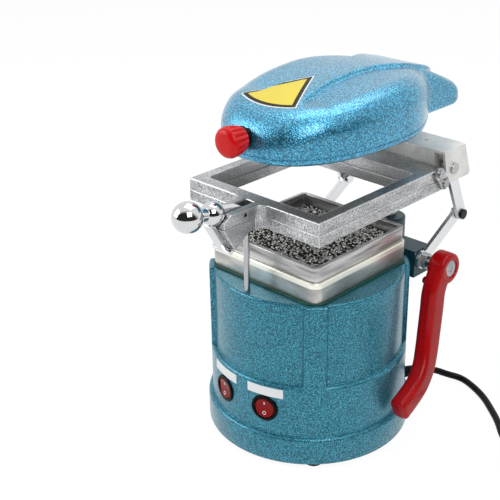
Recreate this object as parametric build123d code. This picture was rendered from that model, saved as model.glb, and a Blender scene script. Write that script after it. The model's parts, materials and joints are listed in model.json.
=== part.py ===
"""Dental vacuum former: a drum base with a vacuum motor, a shot tray on a vacuum block, a pair of
sheet frames on a carriage that a side lever pulls down a column, and a heater head that swings over.

Millimetres.  The origin is on the drum's axis, on the surface that the feet stand on.
+Z is up, the front (switches and ball catch) is -Y, and the lever is on +X.
"""
from build123d import *
import math
import os

# ------------------------------------------------------------------ general fits
face_gap = 0.3            # between flat faces of pieces that move past each other
running_gap = 0.05        # radial, a shaft in its hole
side_gap = 0.5            # between links and what they swing beside
through = 400.0           # a length that reaches past everything it cuts

# ------------------------------------------------------------------ feet and drum base
foot_height = 5.0
foot_radius = 8.5
foot_inset = 9.0             # a foot's centre inside the band
foot_screw_radius = 2.0
foot_screw_head = 3.4
flange_reach = 3.7           # the flange beyond the band
flange_top = 30.0
band_radius = 86.0
band_top = 78.0
panel_recess = 4.0           # the panels behind the band and the ribs
base_top = 152.3
rib_width = 20.0
casting_wall = 4.0
deck_thickness = 7.0
shoulder_round = 3.0
rim_round = 2.0
boss_radius = 6.0
boss_height = 30.0
cover_thickness = 2.0
cover_inset = 1.4            # the bottom cover's edge inside the band
intake_radius = 15.0

# ------------------------------------------------------------------ vacuum block and shot tray
pad_width = 125.0
pad_height = 1.7
pad_corner = 13.0
block_width = 119.0
block_height = 17.0
block_corner = 8.0
block_wall = 8.0
vent_plate_thickness = 3.0
vent_radius = 1.6
vent_pitch = 13.0
vent_rows = 6
tray_width = 115.0
tray_height = 13.0
tray_corner = 6.0
tray_wall = 3.5
tray_floor = 1.2
shot_depth_front = 8.8
shot_depth_rear = 2.2
shot_clearance = 0.2
lift_notch = 5.0
block_screw_inset = 10.0
block_screw_radius = 2.0

# ------------------------------------------------------------------ frames and carriage
frame_half_width = 71.0
frame_front = -70.0
frame_bar_width = 10.6
opening_front = -58.8
opening_rear = 61.6
opening_corner = 4.0
upper_frame_rear = 88.0
lower_frame_side_rear = 93.0
tongue_rear = 127.0
lower_frame_bottom = 211.0
frame_seam = 220.3
upper_frame_top = 230.7
edge_chamfer = 0.6
ear_half_width = 11.0
ear_front = -110.7
ear_top_front = -102.0
ear_tip_y = -99.4
ear_tip_z = 200.7
ear_heel_y = -83.0
ear_root_round = 8.0
slot_half_width = 4.5
slot_root = -71.0
frame_pivot_y = 81.2
frame_pivot_z = 227.3
hinge_plate_thickness = 2.5
hinge_plate_half = 5.5
hinge_foot_y = 88.8
hinge_foot_z = 217.3
pivot_screw_radius = 2.0
pivot_screw_depth = 8.0
screw_head_radius = 3.6
screw_head_height = 1.8
block_front = 89.0
carriage_block_rear = 128.0
cover_plate_bottom = 241.5
cover_plate_top = 244.0
cheek_thickness = 2.5
cheek_top_front = 89.0
cheek_bottom_front = 95.0
cheek_top_rear = 119.0
cheek_bottom_rear = 130.0
cheek_bottom = 214.0
bush_radius = 9.0
carriage_travel = 39.0

# ------------------------------------------------------------------ column, bracket, guide pin
column_y = 113.0
column_radius = 6.0
column_foot = 125.0
column_top = 297.0
bracket_set_in = 13.0        # the bracket's front face inside the panels
bracket_rear = 92.0
bracket_bottom = 131.0
bracket_top = 156.0
bracket_round = 2.0
column_boss_radius = 14.0
column_boss_bottom = 120.0
column_boss_top = 160.0
web_half_width = 10.0
pocket_backing = 6.0
pocket_floor = 6.0
bracket_screw_x = (-40.0, -20.0, 20.0, 40.0)
bracket_screw_z = 137.0
bracket_screw_radius = 2.5
guide_pin_y = -76.0
guide_pin_radius = 2.5
guide_pin_top = 216.0
guide_pin_depth = 6.0

# ------------------------------------------------------------------ lever and links
shaft_y = 77.0
shaft_z = 147.0
shaft_radius = 4.0
knee_y = 126.5
knee_z = 175.8
carriage_pivot_y = 104.0
carriage_pivot_z = 226.0
arm_thickness = 3.5
arm_inset = 10.0             # the lower links' inner face inside the frame's side
arm_half_width = 5.5
shaft_eye_radius = 8.0
knee_pin_radius = 2.5
knee_head_radius = 4.5
knee_head_height = 2.2
arm_screw_radius = 3.0
spacer_radius = 5.0
nut_radius = 7.0
handle_offset = 16.0         # the handle's head beyond the lower links' inner face
handle_thickness = 16.0
handle_head_radius = 14.0
handle_width = 21.0
handle_corner = 5.0
handle_path = (              # X from the handle's inner face, then Y and Z
    (8.5, 64.3, 130.0),
    (9.2, 61.5, 112.2),
    (10.6, 57.5, 93.0),
    (13.2, 51.7, 76.5),
    (16.0, 44.5, 64.4),
    (18.2, 34.2, 54.5),
    (19.4, 21.3, 47.5),
    (20.4, 4.4, 40.6),
)
handle_screw_radius = 8.0
handle_screw_height = 1.6

# ------------------------------------------------------------------ ball catch
catch_pivot_y = -87.0
catch_pivot_z = 226.0
catch_pin_radius = 1.7
catch_eye_radius = 5.5
catch_half_width = 4.0
big_ball_y = -137.0
big_ball_z = 237.0
big_ball_radius = 12.3
small_ball_y = -112.0
small_ball_z = 232.0
small_ball_radius = 9.7
ball_neck_radius = 5.5
catch_gap = 0.5
catch_arm_thickness = 4.5
catch_nose_length = 2.8
catch_nose_half_width = 10.0

# ------------------------------------------------------------------ heater head
head_bottom = 265.0
neck_bottom = 262.0
head_wall = 9.0
head_centre_y = 38.0
head_front_length = 115.0
head_fullness = 2.4         # 2 would be an ellipse
head_lip_round = 4.0
head_rear_length = 75.0
neck_half_width = 36.0
neck_corner = 21.0
neck_rear = 162.0
neck_blend = 22.0
head_shoulder = 20.0
spine_depth = 3.0
spine_fan_y = -44.0
spine_waist_y = 25.0
spine_swell_y = 92.0
spine_end_y = 147.0
spine_fan_half = 26.0
spine_waist_half = 13.5
spine_swell_half = 26.0
cavity_side_gap = 7.0        # between the heater plate and the hollow's side
cavity_end_gap = 24.0
cavity_centre_y = 10.0
cavity_top = 283.0
roof_pocket = (33.0, 50.0)
roof_pocket_top = 299.0
heater_plate_width = 100.0
heater_plate_bottom = 270.0
heater_plate_thickness = 8.0
reflector_thickness = 1.5
coil_section = 2.4
coil_margin = 8.0            # the plate beyond the outer ring
coil_inner_radius = 12.0
coil_rings = 4
post_radius = 4.0
swing_collar_radius = 12.0
swing_collar_height = 7.0
knob_z = 284.0
knob_rear = -80.0
knob_front = -98.0
knob_radius_front = 12.4
knob_radius_rear = 10.2
knob_flutes = 12
knob_flute_radius = 1.5
knob_washer_radius = 9.0
knob_washer_thickness = 3.0
knob_stem_radius = 6.0
knob_stem_end = -66.0

# ------------------------------------------------------------------ switches
switch_z = 54.0
switch_angles = (-73.5, -104.2)
bezel_radius = 12.0
bezel_thickness = 2.2
spot_face_depth = 0.9
switch_body_radius = 10.6
switch_body_depth = 24.0
rocker_radius = 8.6
rocker_play = 0.7
rocker_depth = 5.0
rocker_pin_radius = 1.0
label_width = 33.0
label_height = 8.4
label_bottom = 66.4
label_thickness = 0.4

# ------------------------------------------------------------------ inside the drum
mount_plate_z = 70.0
mount_plate_thickness = 3.0
mount_plate_radius = 70.0
mount_post_radius = 5.0
mount_post_circle = 60.0
motor_radius = 44.0
motor_bottom = 16.0
motor_shaft_radius = 5.0
motor_shaft_depth = 30.0
fan_radius = 62.0
fan_height = 42.0
seal_outer = 30.0
seal_inner = 18.0
terminal_width = 30.0
terminal_depth = 14.0

# ------------------------------------------------------------------ power cord
cord_radius = 3.1
cord_exit_angle = 65.0
cord_exit_z = 18.0
cord_bend_share = 0.45
relief_length = 24.0
relief_root_radius = 6.0
relief_tip_radius = 4.0
gland_radius = 9.0
gland_thickness = 3.0
cord_route = (
    (54.8, 117.4, 14.0),
    (62.5, 129.0, 6.5),
    (75.0, 137.5, 3.3),
    (92.5, 131.5, 3.3),
    (109.0, 123.0, 3.3),
    (125.0, 110.5, 3.3),
    (140.0, 98.0, 3.3),
    (156.0, 80.0, 3.3),
)
coil_centre = (216.0, 92.0)
coil_entry_angle = 222.0
coil_mean_radius = 34.0
coil_turns_wide = 4
plug_length = 38.0
plug_radius = 12.0
plug_pin_radius = 2.4
plug_pin_length = 19.0
plug_pin_spacing = 19.0

# ------------------------------------------------------------------ values that follow
flange_radius = band_radius + flange_reach
panel_radius = band_radius - panel_recess
foot_circle = band_radius - foot_inset
cover_radius = band_radius - cover_inset
bracket_front = panel_radius - bracket_set_in
opening_half_width = frame_half_width - frame_bar_width
cheek_inner = frame_half_width - cheek_thickness
lower_arm_inner = frame_half_width - arm_inset
block_half_width = lower_arm_inner - 2 * side_gap
shaft_left_end = -frame_half_width
bracket_half_width = lower_arm_inner - side_gap
handle_inner = lower_arm_inner + handle_offset
cavity_half_width = heater_plate_width / 2 + cavity_side_gap
cavity_half_length = heater_plate_width / 2 + cavity_end_gap
head_half_width = cavity_half_width + head_wall
coil_pitch = (heater_plate_width / 2 - coil_margin - coil_inner_radius) / (coil_rings - 1)
coil_ring_radii = [coil_inner_radius + coil_pitch * ring for ring in range(coil_rings)]
block_bottom = base_top + pad_height
block_top = block_bottom + block_height
tray_top = block_top + tray_height
lower_frame_top = frame_seam - face_gap / 2
upper_frame_bottom = frame_seam + face_gap / 2
upper_arm_inner = lower_arm_inner + arm_thickness + side_gap
lower_arm_length = math.hypot(knee_y - shaft_y, knee_z - shaft_z)
upper_arm_length = math.hypot(knee_y - carriage_pivot_y, knee_z - carriage_pivot_z)
switch_seat = band_radius - spot_face_depth
coil_half_width = coil_turns_wide * cord_radius
coil_height = 2 * cord_radius * (1 + math.sqrt(3) / 2)


# ------------------------------------------------------------------ small shapes
def block(x_low, x_high, y_low, y_high, z_low, z_high):
    """A rectangular block between two corners."""
    low = Align.MIN
    size = Box(x_high - x_low, y_high - y_low, z_high - z_low, align=(low, low, low))
    return Pos(x_low, y_low, z_low) * size


def rod_z(radius, x, y, z_low, z_high):
    """An upright cylinder."""
    upright = Cylinder(radius, z_high - z_low, align=(Align.CENTER, Align.CENTER, Align.MIN))
    return Pos(x, y, z_low) * upright


def rod_x(radius, x_low, x_high, y, z):
    """A cylinder lying along X."""
    upright = Cylinder(radius, x_high - x_low, align=(Align.CENTER, Align.CENTER, Align.MIN))
    return Pos(x_low, y, z) * Rot(0, 90, 0) * upright


def rod_y(radius, x, y_low, y_high, z):
    """A cylinder lying along Y."""
    upright = Cylinder(radius, y_high - y_low, align=(Align.CENTER, Align.CENTER, Align.MIN))
    return Pos(x, y_low, z) * Rot(-90, 0, 0) * upright


def radial(angle, radius, z):
    """The place at this angle and radius, with its own Z pointing outwards and its X upwards."""
    turn = math.radians(angle)
    outward = Vector(math.cos(turn), math.sin(turn), 0)
    return Plane(origin=outward * radius + Vector(0, 0, z), x_dir=(0, 0, 1), z_dir=outward)


def side_plate(outline, x_low, x_high):
    """An outline in the Y-Z plane, given a thickness along X."""
    return extrude(Plane.YZ.offset(x_low) * outline, x_high - x_low)


def flat_plate(outline, z_low, z_high):
    """An outline in the X-Y plane, given a thickness along Z."""
    return extrude(Plane.XY.offset(z_low) * outline, z_high - z_low)


def polygon(*points):
    """A face with straight sides."""
    return make_face(Polyline(*points, close=True))


def link(start, end, radius):
    """A straight bar with round ends, from one hole centre to the other."""
    across = end[0] - start[0]
    along = end[1] - start[1]
    middle = Pos((start[0] + end[0]) / 2, (start[1] + end[1]) / 2)
    turn = Rot(0, 0, math.degrees(math.atan2(along, across)))
    return middle * turn * SlotCenterToCenter(math.hypot(across, along), 2 * radius)


def both_sides(piece):
    """The piece and its mirror image in the Y-Z plane."""
    return [piece, mirror(piece, about=Plane.YZ)]


def rib_angles():
    """The four ribs stand between the panels."""
    return [45 + 90 * quarter for quarter in range(4)]


def polar(radius, angle):
    """X and Y at this radius and angle."""
    return radius * math.cos(math.radians(angle)), radius * math.sin(math.radians(angle))


# ------------------------------------------------------------------ drum base
def drum_section():
    """The panels' circle with four ribs standing out of it."""
    cross = Rot(0, 0, 45) * Rectangle(rib_width, 3 * band_radius)
    cross += Rot(0, 0, -45) * Rectangle(rib_width, 3 * band_radius)
    section = Circle(panel_radius) + (Circle(band_radius) & cross)
    return fillet(section.vertices(), 1.2)


def drum_outside():
    """Flange, band and ribbed wall, before anything is cut."""
    flange = rod_z(flange_radius, 0, 0, foot_height, flange_top)
    flange = fillet(flange.edges().sort_by(Axis.Z)[-1], shoulder_round)
    band = rod_z(band_radius, 0, 0, foot_height, band_top)
    band = fillet(band.edges().sort_by(Axis.Z)[-1], shoulder_round)
    wall = flat_plate(drum_section(), flange_top, base_top)
    top_edges = wall.faces().sort_by(Axis.Z)[-1].edges()
    wall = fillet(top_edges, rim_round)
    return flange + band + wall


def base_casting():
    """The drum: open below, with a deck on top, foot bosses and a pocket for the rear bracket."""
    cavity = rod_z(band_radius - casting_wall, 0, 0, foot_height, band_top - 8)
    cavity += rod_z(panel_radius - casting_wall, 0, 0, foot_height, base_top - deck_thickness)
    pocket_wall = bracket_front - pocket_backing
    cavity -= block(-through, through, pocket_wall, through, bracket_bottom - pocket_floor, base_top)
    cavity += rod_z(cover_radius, 0, 0, foot_height, foot_height + cover_thickness)
    casting = drum_outside() - cavity
    boss_top = foot_height + cover_thickness + boss_height
    for angle in rib_angles():
        x, y = polar(foot_circle, angle)
        casting += rod_z(boss_radius, x, y, foot_height + cover_thickness, boss_top)
        casting -= rod_z(foot_screw_radius, x, y, foot_height, boss_top - 6)
    pad = RectangleRounded(pad_width, pad_width, pad_corner)
    pad_solid = flat_plate(pad, base_top - 1, block_bottom) & rod_z(panel_radius, 0, 0, 0, through)
    casting += pad_solid
    casting -= block(-through, through, bracket_front, through, bracket_bottom, base_top + 10)
    casting -= rod_z(intake_radius, 0, 0, band_top, through)
    casting -= rod_z(guide_pin_radius, 0, guide_pin_y, base_top - guide_pin_depth, base_top + 1)
    for x in bracket_screw_x:
        casting -= rod_y(bracket_screw_radius, x, pocket_wall - 1, bracket_front + 1, bracket_screw_z)
    for corner_x, corner_y in block_screw_places():
        casting -= rod_z(block_screw_radius, corner_x, corner_y, block_bottom - 8, block_bottom + 1)
    for angle in switch_angles:
        seat = radial(angle, switch_seat, switch_z)
        casting -= extrude(seat * Circle(bezel_radius + 0.3), 10)
        casting -= extrude(seat * Circle(switch_body_radius), -12)
    gland_seat = radial(cord_exit_angle, flange_radius - 1, cord_exit_z)
    casting -= extrude(gland_seat * Circle(gland_radius), 10)
    casting -= extrude(gland_seat * Circle(relief_tip_radius), -16)
    return casting


def bottom_cover():
    """The steel plate that closes the drum below, held by the foot screws."""
    plate = rod_z(cover_radius, 0, 0, foot_height, foot_height + cover_thickness)
    for angle in rib_angles():
        x, y = polar(foot_circle, angle)
        plate -= rod_z(foot_screw_radius, x, y, 0, 20)
    for slot in range(-2, 3):
        vent = Pos(12 * slot, 0) * SlotOverall(40, 4, rotation=90)
        plate -= flat_plate(vent, 0, 20)
    return plate


def rubber_feet():
    """Four feet, each with a recess for its screw's head."""
    feet = []
    for angle in rib_angles():
        x, y = polar(foot_circle, angle)
        foot = rod_z(foot_radius, x, y, 0, foot_height)
        foot = chamfer(foot.edges().sort_by(Axis.Z)[0], 0.8)
        foot -= rod_z(foot_screw_head, x, y, 0, foot_height / 2)
        feet.append(foot - rod_z(foot_screw_radius, x, y, 0, foot_height))
    return feet


def foot_screws():
    """A screw through each foot and the bottom cover into the casting's boss."""
    screws = []
    for angle in rib_angles():
        x, y = polar(foot_circle, angle)
        head = rod_z(foot_screw_head, x, y, foot_height / 2 - 1.6, foot_height / 2)
        screws.append(head + rod_z(foot_screw_radius, x, y, foot_height / 2, foot_height + 16))
    return screws


# ------------------------------------------------------------------ inside the drum
def motor_mount():
    """A ring on three posts that stand on the bottom cover."""
    plate_top = mount_plate_z + mount_plate_thickness
    ring = rod_z(mount_plate_radius, 0, 0, mount_plate_z, plate_top)
    ring -= rod_z(motor_radius, 0, 0, 0, through)
    for angle in (30, 150, 270):
        x, y = polar(mount_post_circle, angle)
        ring += rod_z(mount_post_radius, x, y, foot_height + cover_thickness, mount_plate_z)
    return ring


def vacuum_motor():
    """The motor's can, which hangs through the ring, with its shaft's bearing bore."""
    plate_top = mount_plate_z + mount_plate_thickness
    can = rod_z(motor_radius, 0, 0, motor_bottom, plate_top)
    can = fillet(can.edges().sort_by(Axis.Z)[0], 6)
    can += rod_z(10, 0, 0, motor_bottom - 6, motor_bottom)
    return can - rod_z(motor_shaft_radius + running_gap, 0, 0, plate_top - motor_shaft_depth, plate_top)


def motor_shaft():
    """The motor's shaft, which carries the fan wheel."""
    plate_top = mount_plate_z + mount_plate_thickness
    return rod_z(motor_shaft_radius, 0, 0, plate_top - motor_shaft_depth, plate_top + 22)


def fan_housing():
    """The drum-shaped housing of the suction fan, open at the eye on top and over the motor."""
    bottom = mount_plate_z + mount_plate_thickness
    shell = rod_z(fan_radius, 0, 0, bottom, bottom + fan_height)
    shell = fillet(shell.edges().sort_by(Axis.Z)[-1], 5)
    shell -= rod_z(fan_radius - 2, 0, 0, bottom + 2, bottom + fan_height - 2)
    shell -= rod_z(6, 0, 0, bottom - 1, bottom + 5)
    return shell - rod_z(seal_inner, 0, 0, bottom + 10, bottom + fan_height + 1)


def fan_wheel():
    """The suction wheel on the motor's shaft: two discs with curved vanes between them."""
    bottom = mount_plate_z + mount_plate_thickness + 10
    wheel = rod_z(fan_radius - 8, 0, 0, bottom, bottom + 2) + rod_z(9, 0, 0, bottom, bottom + 12)
    for blade in range(8):
        vane = block(16, fan_radius - 9, -0.8, 0.8, bottom + 2, bottom + 20)
        wheel += Rot(0, 0, 45 * blade) * vane
    return wheel - rod_z(motor_shaft_radius, 0, 0, 0, through)


def intake_seal():
    """The rubber ring between the fan's eye and the deck."""
    bottom = mount_plate_z + mount_plate_thickness + fan_height
    ring = rod_z(seal_outer, 0, 0, bottom, base_top - deck_thickness)
    return ring - rod_z(seal_inner, 0, 0, 0, through)


def terminal_block():
    """The block on the bottom cover where the supply cord ends."""
    floor = foot_height + cover_thickness
    body = block(-terminal_width / 2, terminal_width / 2, 58, 58 + terminal_depth, floor, floor + 14)
    for way in (-9, 0, 9):
        body -= rod_z(2.2, way, 58 + terminal_depth / 2, floor + 8, floor + 20)
    return Rot(0, 0, 6) * body


# ------------------------------------------------------------------ vacuum block and tray
def block_screw_places():
    """The four screws that hold the vacuum block, near its corners."""
    reach = block_width / 2 - block_screw_inset
    return [(x, y) for x in (-reach, reach) for y in (-reach, reach)]


def vacuum_block():
    """A square aluminium chamber with a seat for the vent plate on top and a hole to the fan."""
    outline = RectangleRounded(block_width, block_width, block_corner)
    body = flat_plate(outline, block_bottom, block_top)
    body = chamfer(body.faces().sort_by(Axis.Z)[-1].edges(), edge_chamfer)
    inner = block_width - 2 * block_wall - 22
    body -= flat_plate(RectangleRounded(inner, inner, 4), block_bottom + 5, block_top)
    seat = inner + 12
    seat_cut = RectangleRounded(seat, seat, 5)
    body -= flat_plate(seat_cut, block_top - vent_plate_thickness, block_top + 1)
    body -= rod_z(intake_radius, 0, 0, block_bottom - 1, block_top)
    for x, y in block_screw_places():
        body -= rod_z(block_screw_radius, x, y, block_bottom - 1, block_top + 1)
        body -= rod_z(screw_head_radius, x, y, block_top - 4, block_top + 1)
    return body


def block_screws():
    """Cap screws through the vacuum block into the deck."""
    screws = []
    for x, y in block_screw_places():
        screw = rod_z(screw_head_radius, x, y, block_top - 4, block_top - 0.8)
        screws.append(screw + rod_z(block_screw_radius, x, y, block_bottom - 8, block_top - 4))
    return screws


def vent_plate():
    """The perforated plate that the model or the shot tray stands on."""
    width = block_width - 2 * block_wall - 10
    outline = RectangleRounded(width, width, 5)
    holes = Sketch() + GridLocations(vent_pitch, vent_pitch, vent_rows, vent_rows) * Circle(vent_radius)
    return flat_plate(outline - holes, block_top - vent_plate_thickness, block_top)


def ball_tray():
    """The open shot tray, which lies loose on the vacuum block."""
    bottom = block_top + face_gap
    outline = RectangleRounded(tray_width, tray_width, tray_corner)
    body = flat_plate(outline, bottom, tray_top)
    inner = tray_width - 2 * tray_wall
    body -= flat_plate(RectangleRounded(inner, inner, 3), bottom + tray_floor, tray_top + 1)
    body = chamfer(body.faces().sort_by(Axis.Z)[-1].edges(), 0.4)
    holes = Sketch() + GridLocations(vent_pitch, vent_pitch, vent_rows, vent_rows) * Circle(0.8)
    body -= flat_plate(holes, bottom - 1, bottom + tray_floor + 1)
    reach = tray_width / 2
    notch = Pos(reach, -reach) * Rectangle(lift_notch, lift_notch, rotation=45)
    return body - flat_plate(notch, bottom - 1, bottom + 1.6)


def shot_bed():
    """The heap of steel shot, deep at the front wall and shallow at the rear."""
    half = tray_width / 2 - tray_wall - shot_clearance
    floor = block_top + face_gap + tray_floor
    side = polygon(
        (-half, floor),
        (half, floor),
        (half, floor + shot_depth_rear),
        (-half, floor + shot_depth_front),
    )
    corners = RectangleRounded(2 * half, 2 * half, 3)
    return side_plate(side, -half, half) & flat_plate(corners, floor - 1, floor + 20)


# ------------------------------------------------------------------ column, bracket, pin
def rear_bracket():
    """The cast beam in the drum's rear pocket: it holds the column and the lever's shaft."""
    side = polygon(
        (bracket_front, bracket_bottom),
        (bracket_rear, bracket_bottom),
        (bracket_rear, bracket_top),
        (bracket_front, bracket_top),
    )
    side = fillet(side.vertices().sort_by(Axis.X)[-2:], bracket_round)
    beam = side_plate(side, -bracket_half_width, bracket_half_width)
    boss = rod_z(column_boss_radius, 0, column_y, column_boss_bottom, column_boss_top)
    boss = fillet(boss.edges().sort_by(Axis.Z)[-1], bracket_round)
    web = block(-web_half_width, web_half_width, bracket_rear - 1, column_y, 128, 152)
    casting = beam + boss + web
    casting -= rod_z(column_radius, 0, column_y, column_foot, column_boss_top + 1)
    casting -= rod_x(shaft_radius + running_gap, -80, 80, shaft_y, shaft_z)
    casting -= rod_y(bracket_screw_radius, 0, column_y, column_y + 40, 144)
    for x in bracket_screw_x:
        casting -= rod_y(bracket_screw_radius, x, bracket_front - 1, bracket_rear + 1, bracket_screw_z)
    return casting


def bracket_screws():
    """Four screws through the bracket into the pocket's wall, and the column's set screw."""
    screws = []
    for x in bracket_screw_x:
        shank = rod_y(bracket_screw_radius, x, bracket_front - pocket_backing, bracket_rear, bracket_screw_z)
        head = rod_y(screw_head_radius + 1, x, bracket_rear, bracket_rear + 3.5, bracket_screw_z)
        screws.append(shank + head)
    set_end = column_y + column_boss_radius + 1.5
    screws.append(rod_y(bracket_screw_radius, 0, column_y + column_radius, set_end, 144))
    return screws


def guide_column():
    """The ground steel column that the carriage slides on and the heater head swings about."""
    column = rod_z(column_radius, 0, column_y, column_foot, column_top)
    return chamfer(column.edges().sort_by(Axis.Z)[-1], 1)


def front_guide_pin():
    """The pin in the rim that keeps the carriage from turning: it stands in the ears' slot."""
    pin = rod_z(guide_pin_radius, 0, guide_pin_y, base_top - guide_pin_depth, guide_pin_top)
    return fillet(pin.edges().sort_by(Axis.Z)[-1], 1.8)


# ------------------------------------------------------------------ frames
def frame_outline(rear, half_width):
    """A frame's outline from above, with its front ear and the ear's rounded roots."""
    ear_end = ear_front - 5
    outline = polygon(
        (-half_width, frame_front),
        (-ear_half_width, frame_front),
        (-ear_half_width, ear_end),
        (ear_half_width, ear_end),
        (ear_half_width, frame_front),
        (half_width, frame_front),
        (half_width, rear),
        (-half_width, rear),
    )
    roots = outline.vertices().filter_by(lambda v: abs(v.X) < ear_half_width + 1 and v.Y > ear_front)
    return fillet(roots, ear_root_round)


def frame_opening():
    """The square window that the plastic sheet is drawn through."""
    width = 2 * opening_half_width
    depth = opening_rear - opening_front
    middle = (opening_front + opening_rear) / 2
    return Pos(0, middle) * RectangleRounded(width, depth, opening_corner)


def ear_slot():
    """The slot in the ears for the guide pin and the ball catch."""
    return Pos(0, slot_root - 30) * Rectangle(2 * slot_half_width, 60)


def upper_frame():
    """The clamping frame: flat, hinged at the rear, with a rolled rear edge and a slotted ear."""
    half_width = frame_half_width - face_gap
    body = flat_plate(frame_outline(upper_frame_rear, half_width), upper_frame_bottom, upper_frame_top)
    body -= flat_plate(frame_opening() + ear_slot(), 0, through)
    knuckle = frame_pivot_z - upper_frame_bottom
    rear_edge = polygon(
        (-through, 0), (frame_pivot_y, 0), (frame_pivot_y, upper_frame_bottom),
        (through, upper_frame_bottom), (through, through), (-through, through),
    )
    roller = Pos(frame_pivot_y, frame_pivot_z) * Circle(knuckle)
    beyond = polygon((frame_pivot_y, 0), (through, 0), (through, frame_pivot_z), (frame_pivot_y, frame_pivot_z))
    body = body & side_plate(rear_edge - (beyond - roller), -through, through)
    nose = polygon(
        (-through, 0), (ear_front + 0.5, 0), (ear_front + 0.5, upper_frame_top - 4.2),
        (ear_top_front, upper_frame_top), (ear_top_front, through), (-through, through),
    )
    body -= side_plate(nose, -20, 20)
    body = chamfer(body.faces().sort_by(Axis.Z)[-1].outer_wire().edges(), edge_chamfer)
    for side in (-1, 1):
        end = side * half_width
        inner = side * (half_width - pivot_screw_depth)
        hole = rod_x(pivot_screw_radius + running_gap, min(inner, end), max(inner, end),
                     frame_pivot_y, frame_pivot_z)
        body -= hole
    for lift in (0, 6):
        turned = Vector(0, small_ball_y - catch_pivot_y, small_ball_z - catch_pivot_z)
        turned = turned.rotate(Axis.X, -lift)
        centre = (0, catch_pivot_y + turned.Y, catch_pivot_z + turned.Z)
        body -= Pos(*centre) * Sphere(small_ball_radius + 2 * face_gap)
    return body - rod_x(catch_pin_radius, -20, 20, catch_pivot_y, catch_pivot_z)


def lower_frame():
    """The frame that the sheet lies on, with the deep wedge ear and the tongue under the block."""
    outline = frame_outline(lower_frame_side_rear, frame_half_width)
    tongue_middle = (lower_frame_side_rear + tongue_rear) / 2 - 2
    tongue = Rectangle(2 * block_half_width, tongue_rear - lower_frame_side_rear + 4)
    outline += Pos(0, tongue_middle) * tongue
    body = flat_plate(outline - frame_opening(), lower_frame_bottom, lower_frame_top)
    body -= block(-20, 20, ear_front - 20, ear_front + 34, lower_frame_bottom - 1, lower_frame_top + 1)
    wedge = polygon(
        (ear_front + 35, lower_frame_top),
        (ear_front, lower_frame_top),
        (ear_tip_y, ear_tip_z),
        (ear_heel_y, lower_frame_bottom),
        (ear_front + 35, lower_frame_bottom),
    )
    body += side_plate(wedge, -ear_half_width, ear_half_width)
    body -= flat_plate(ear_slot(), 0, through)
    body -= rod_z(column_radius + 1, 0, column_y, 0, through)
    for x, y in tongue_screw_places():
        body -= rod_z(pivot_screw_radius, x, y, lower_frame_bottom - 1, lower_frame_top + 1)
    for side in (-1, 1):
        end = side * frame_half_width
        inner = side * (frame_half_width - pivot_screw_depth)
        body -= rod_x(pivot_screw_radius, min(inner, end), max(inner, end), hinge_foot_y, hinge_foot_z)
    return body


def tongue_screw_places():
    """Screws from below through the tongue into the carriage block."""
    return [(x, y) for x in (-48, -24, 24, 48) for y in (100, 118)]


def tongue_screws():
    """The screws that hold the lower frame's tongue under the carriage block."""
    screws = []
    for x, y in tongue_screw_places():
        head = rod_z(screw_head_radius, x, y, lower_frame_bottom - screw_head_height, lower_frame_bottom)
        shank = rod_z(pivot_screw_radius, x, y, lower_frame_bottom, lower_frame_top + 8)
        screws.append(head + shank)
    return screws


def hinge_plates():
    """Two side plates on the lower frame that carry the upper frame's pivot screws."""
    foot = (hinge_foot_y, hinge_foot_z)
    pivot = (frame_pivot_y, frame_pivot_z)
    outline = link(foot, pivot, hinge_plate_half)
    outline -= Pos(*foot) * Circle(pivot_screw_radius)
    outline -= Pos(*pivot) * Circle(pivot_screw_radius)
    outer = frame_half_width + hinge_plate_thickness
    return both_sides(side_plate(outline, frame_half_width, outer))


def hinge_screws():
    """On each side a pivot screw into the upper frame and a fixing screw into the lower frame."""
    outer = frame_half_width + hinge_plate_thickness
    screws = []
    for y, z in ((frame_pivot_y, frame_pivot_z), (hinge_foot_y, hinge_foot_z)):
        reach = frame_half_width - pivot_screw_depth + 1
        shank = rod_x(pivot_screw_radius, reach, outer, y, z)
        head = rod_x(screw_head_radius, outer, outer + screw_head_height, y, z)
        screws += both_sides(shank + head)
    return screws


# ------------------------------------------------------------------ carriage
def carriage_block():
    """The aluminium block that slides on the column, bolted on the lower frame's tongue."""
    body = block(-block_half_width, block_half_width, block_front, carriage_block_rear,
                 lower_frame_top, cover_plate_bottom)
    rear_edges = body.edges().filter_by(Axis.X).group_by(Axis.Y)[-1]
    body = chamfer(rear_edges, 1.5)
    body -= rod_z(bush_radius, 0, column_y, 0, through)
    for x, y in tongue_screw_places():
        body -= rod_z(pivot_screw_radius, x, y, lower_frame_top - 1, lower_frame_top + 8)
    for side in (-1, 1):
        end = side * block_half_width
        inner = side * (block_half_width - 8)
        body -= rod_x(arm_screw_radius, min(inner, end), max(inner, end),
                      carriage_pivot_y, carriage_pivot_z)
    return body


def column_bush():
    """The bronze bush pressed in the carriage block."""
    ring = rod_z(bush_radius, 0, column_y, lower_frame_top, cover_plate_bottom)
    return ring - rod_z(column_radius + running_gap, 0, column_y, 0, through)


def carriage_cover():
    """The bent cover over the block; its two cheeks carry the links' upper pivots."""
    side = polygon(
        (cheek_top_front, cover_plate_top),
        (cheek_bottom_front, cheek_bottom),
        (cheek_bottom_rear, cheek_bottom),
        (cheek_top_rear, cover_plate_top),
    )
    bottom_corners = side.vertices().sort_by(Axis.Y)[:2]
    side = fillet(bottom_corners, 3)
    cheek = side_plate(side, cheek_inner, frame_half_width)
    cover = cheek + mirror(cheek, about=Plane.YZ)
    cover += block(-frame_half_width, frame_half_width, cheek_top_front, cheek_top_rear,
                   cover_plate_bottom, cover_plate_top)
    cover -= rod_z(column_radius + 1, 0, column_y, 0, through)
    cover -= rod_x(arm_screw_radius, -through, through, carriage_pivot_y, carriage_pivot_z)
    for x in (-40, 40):
        cover -= rod_z(pivot_screw_radius, x, column_y - 8, cover_plate_bottom - 1, cover_plate_top + 1)
    return cover


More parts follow.
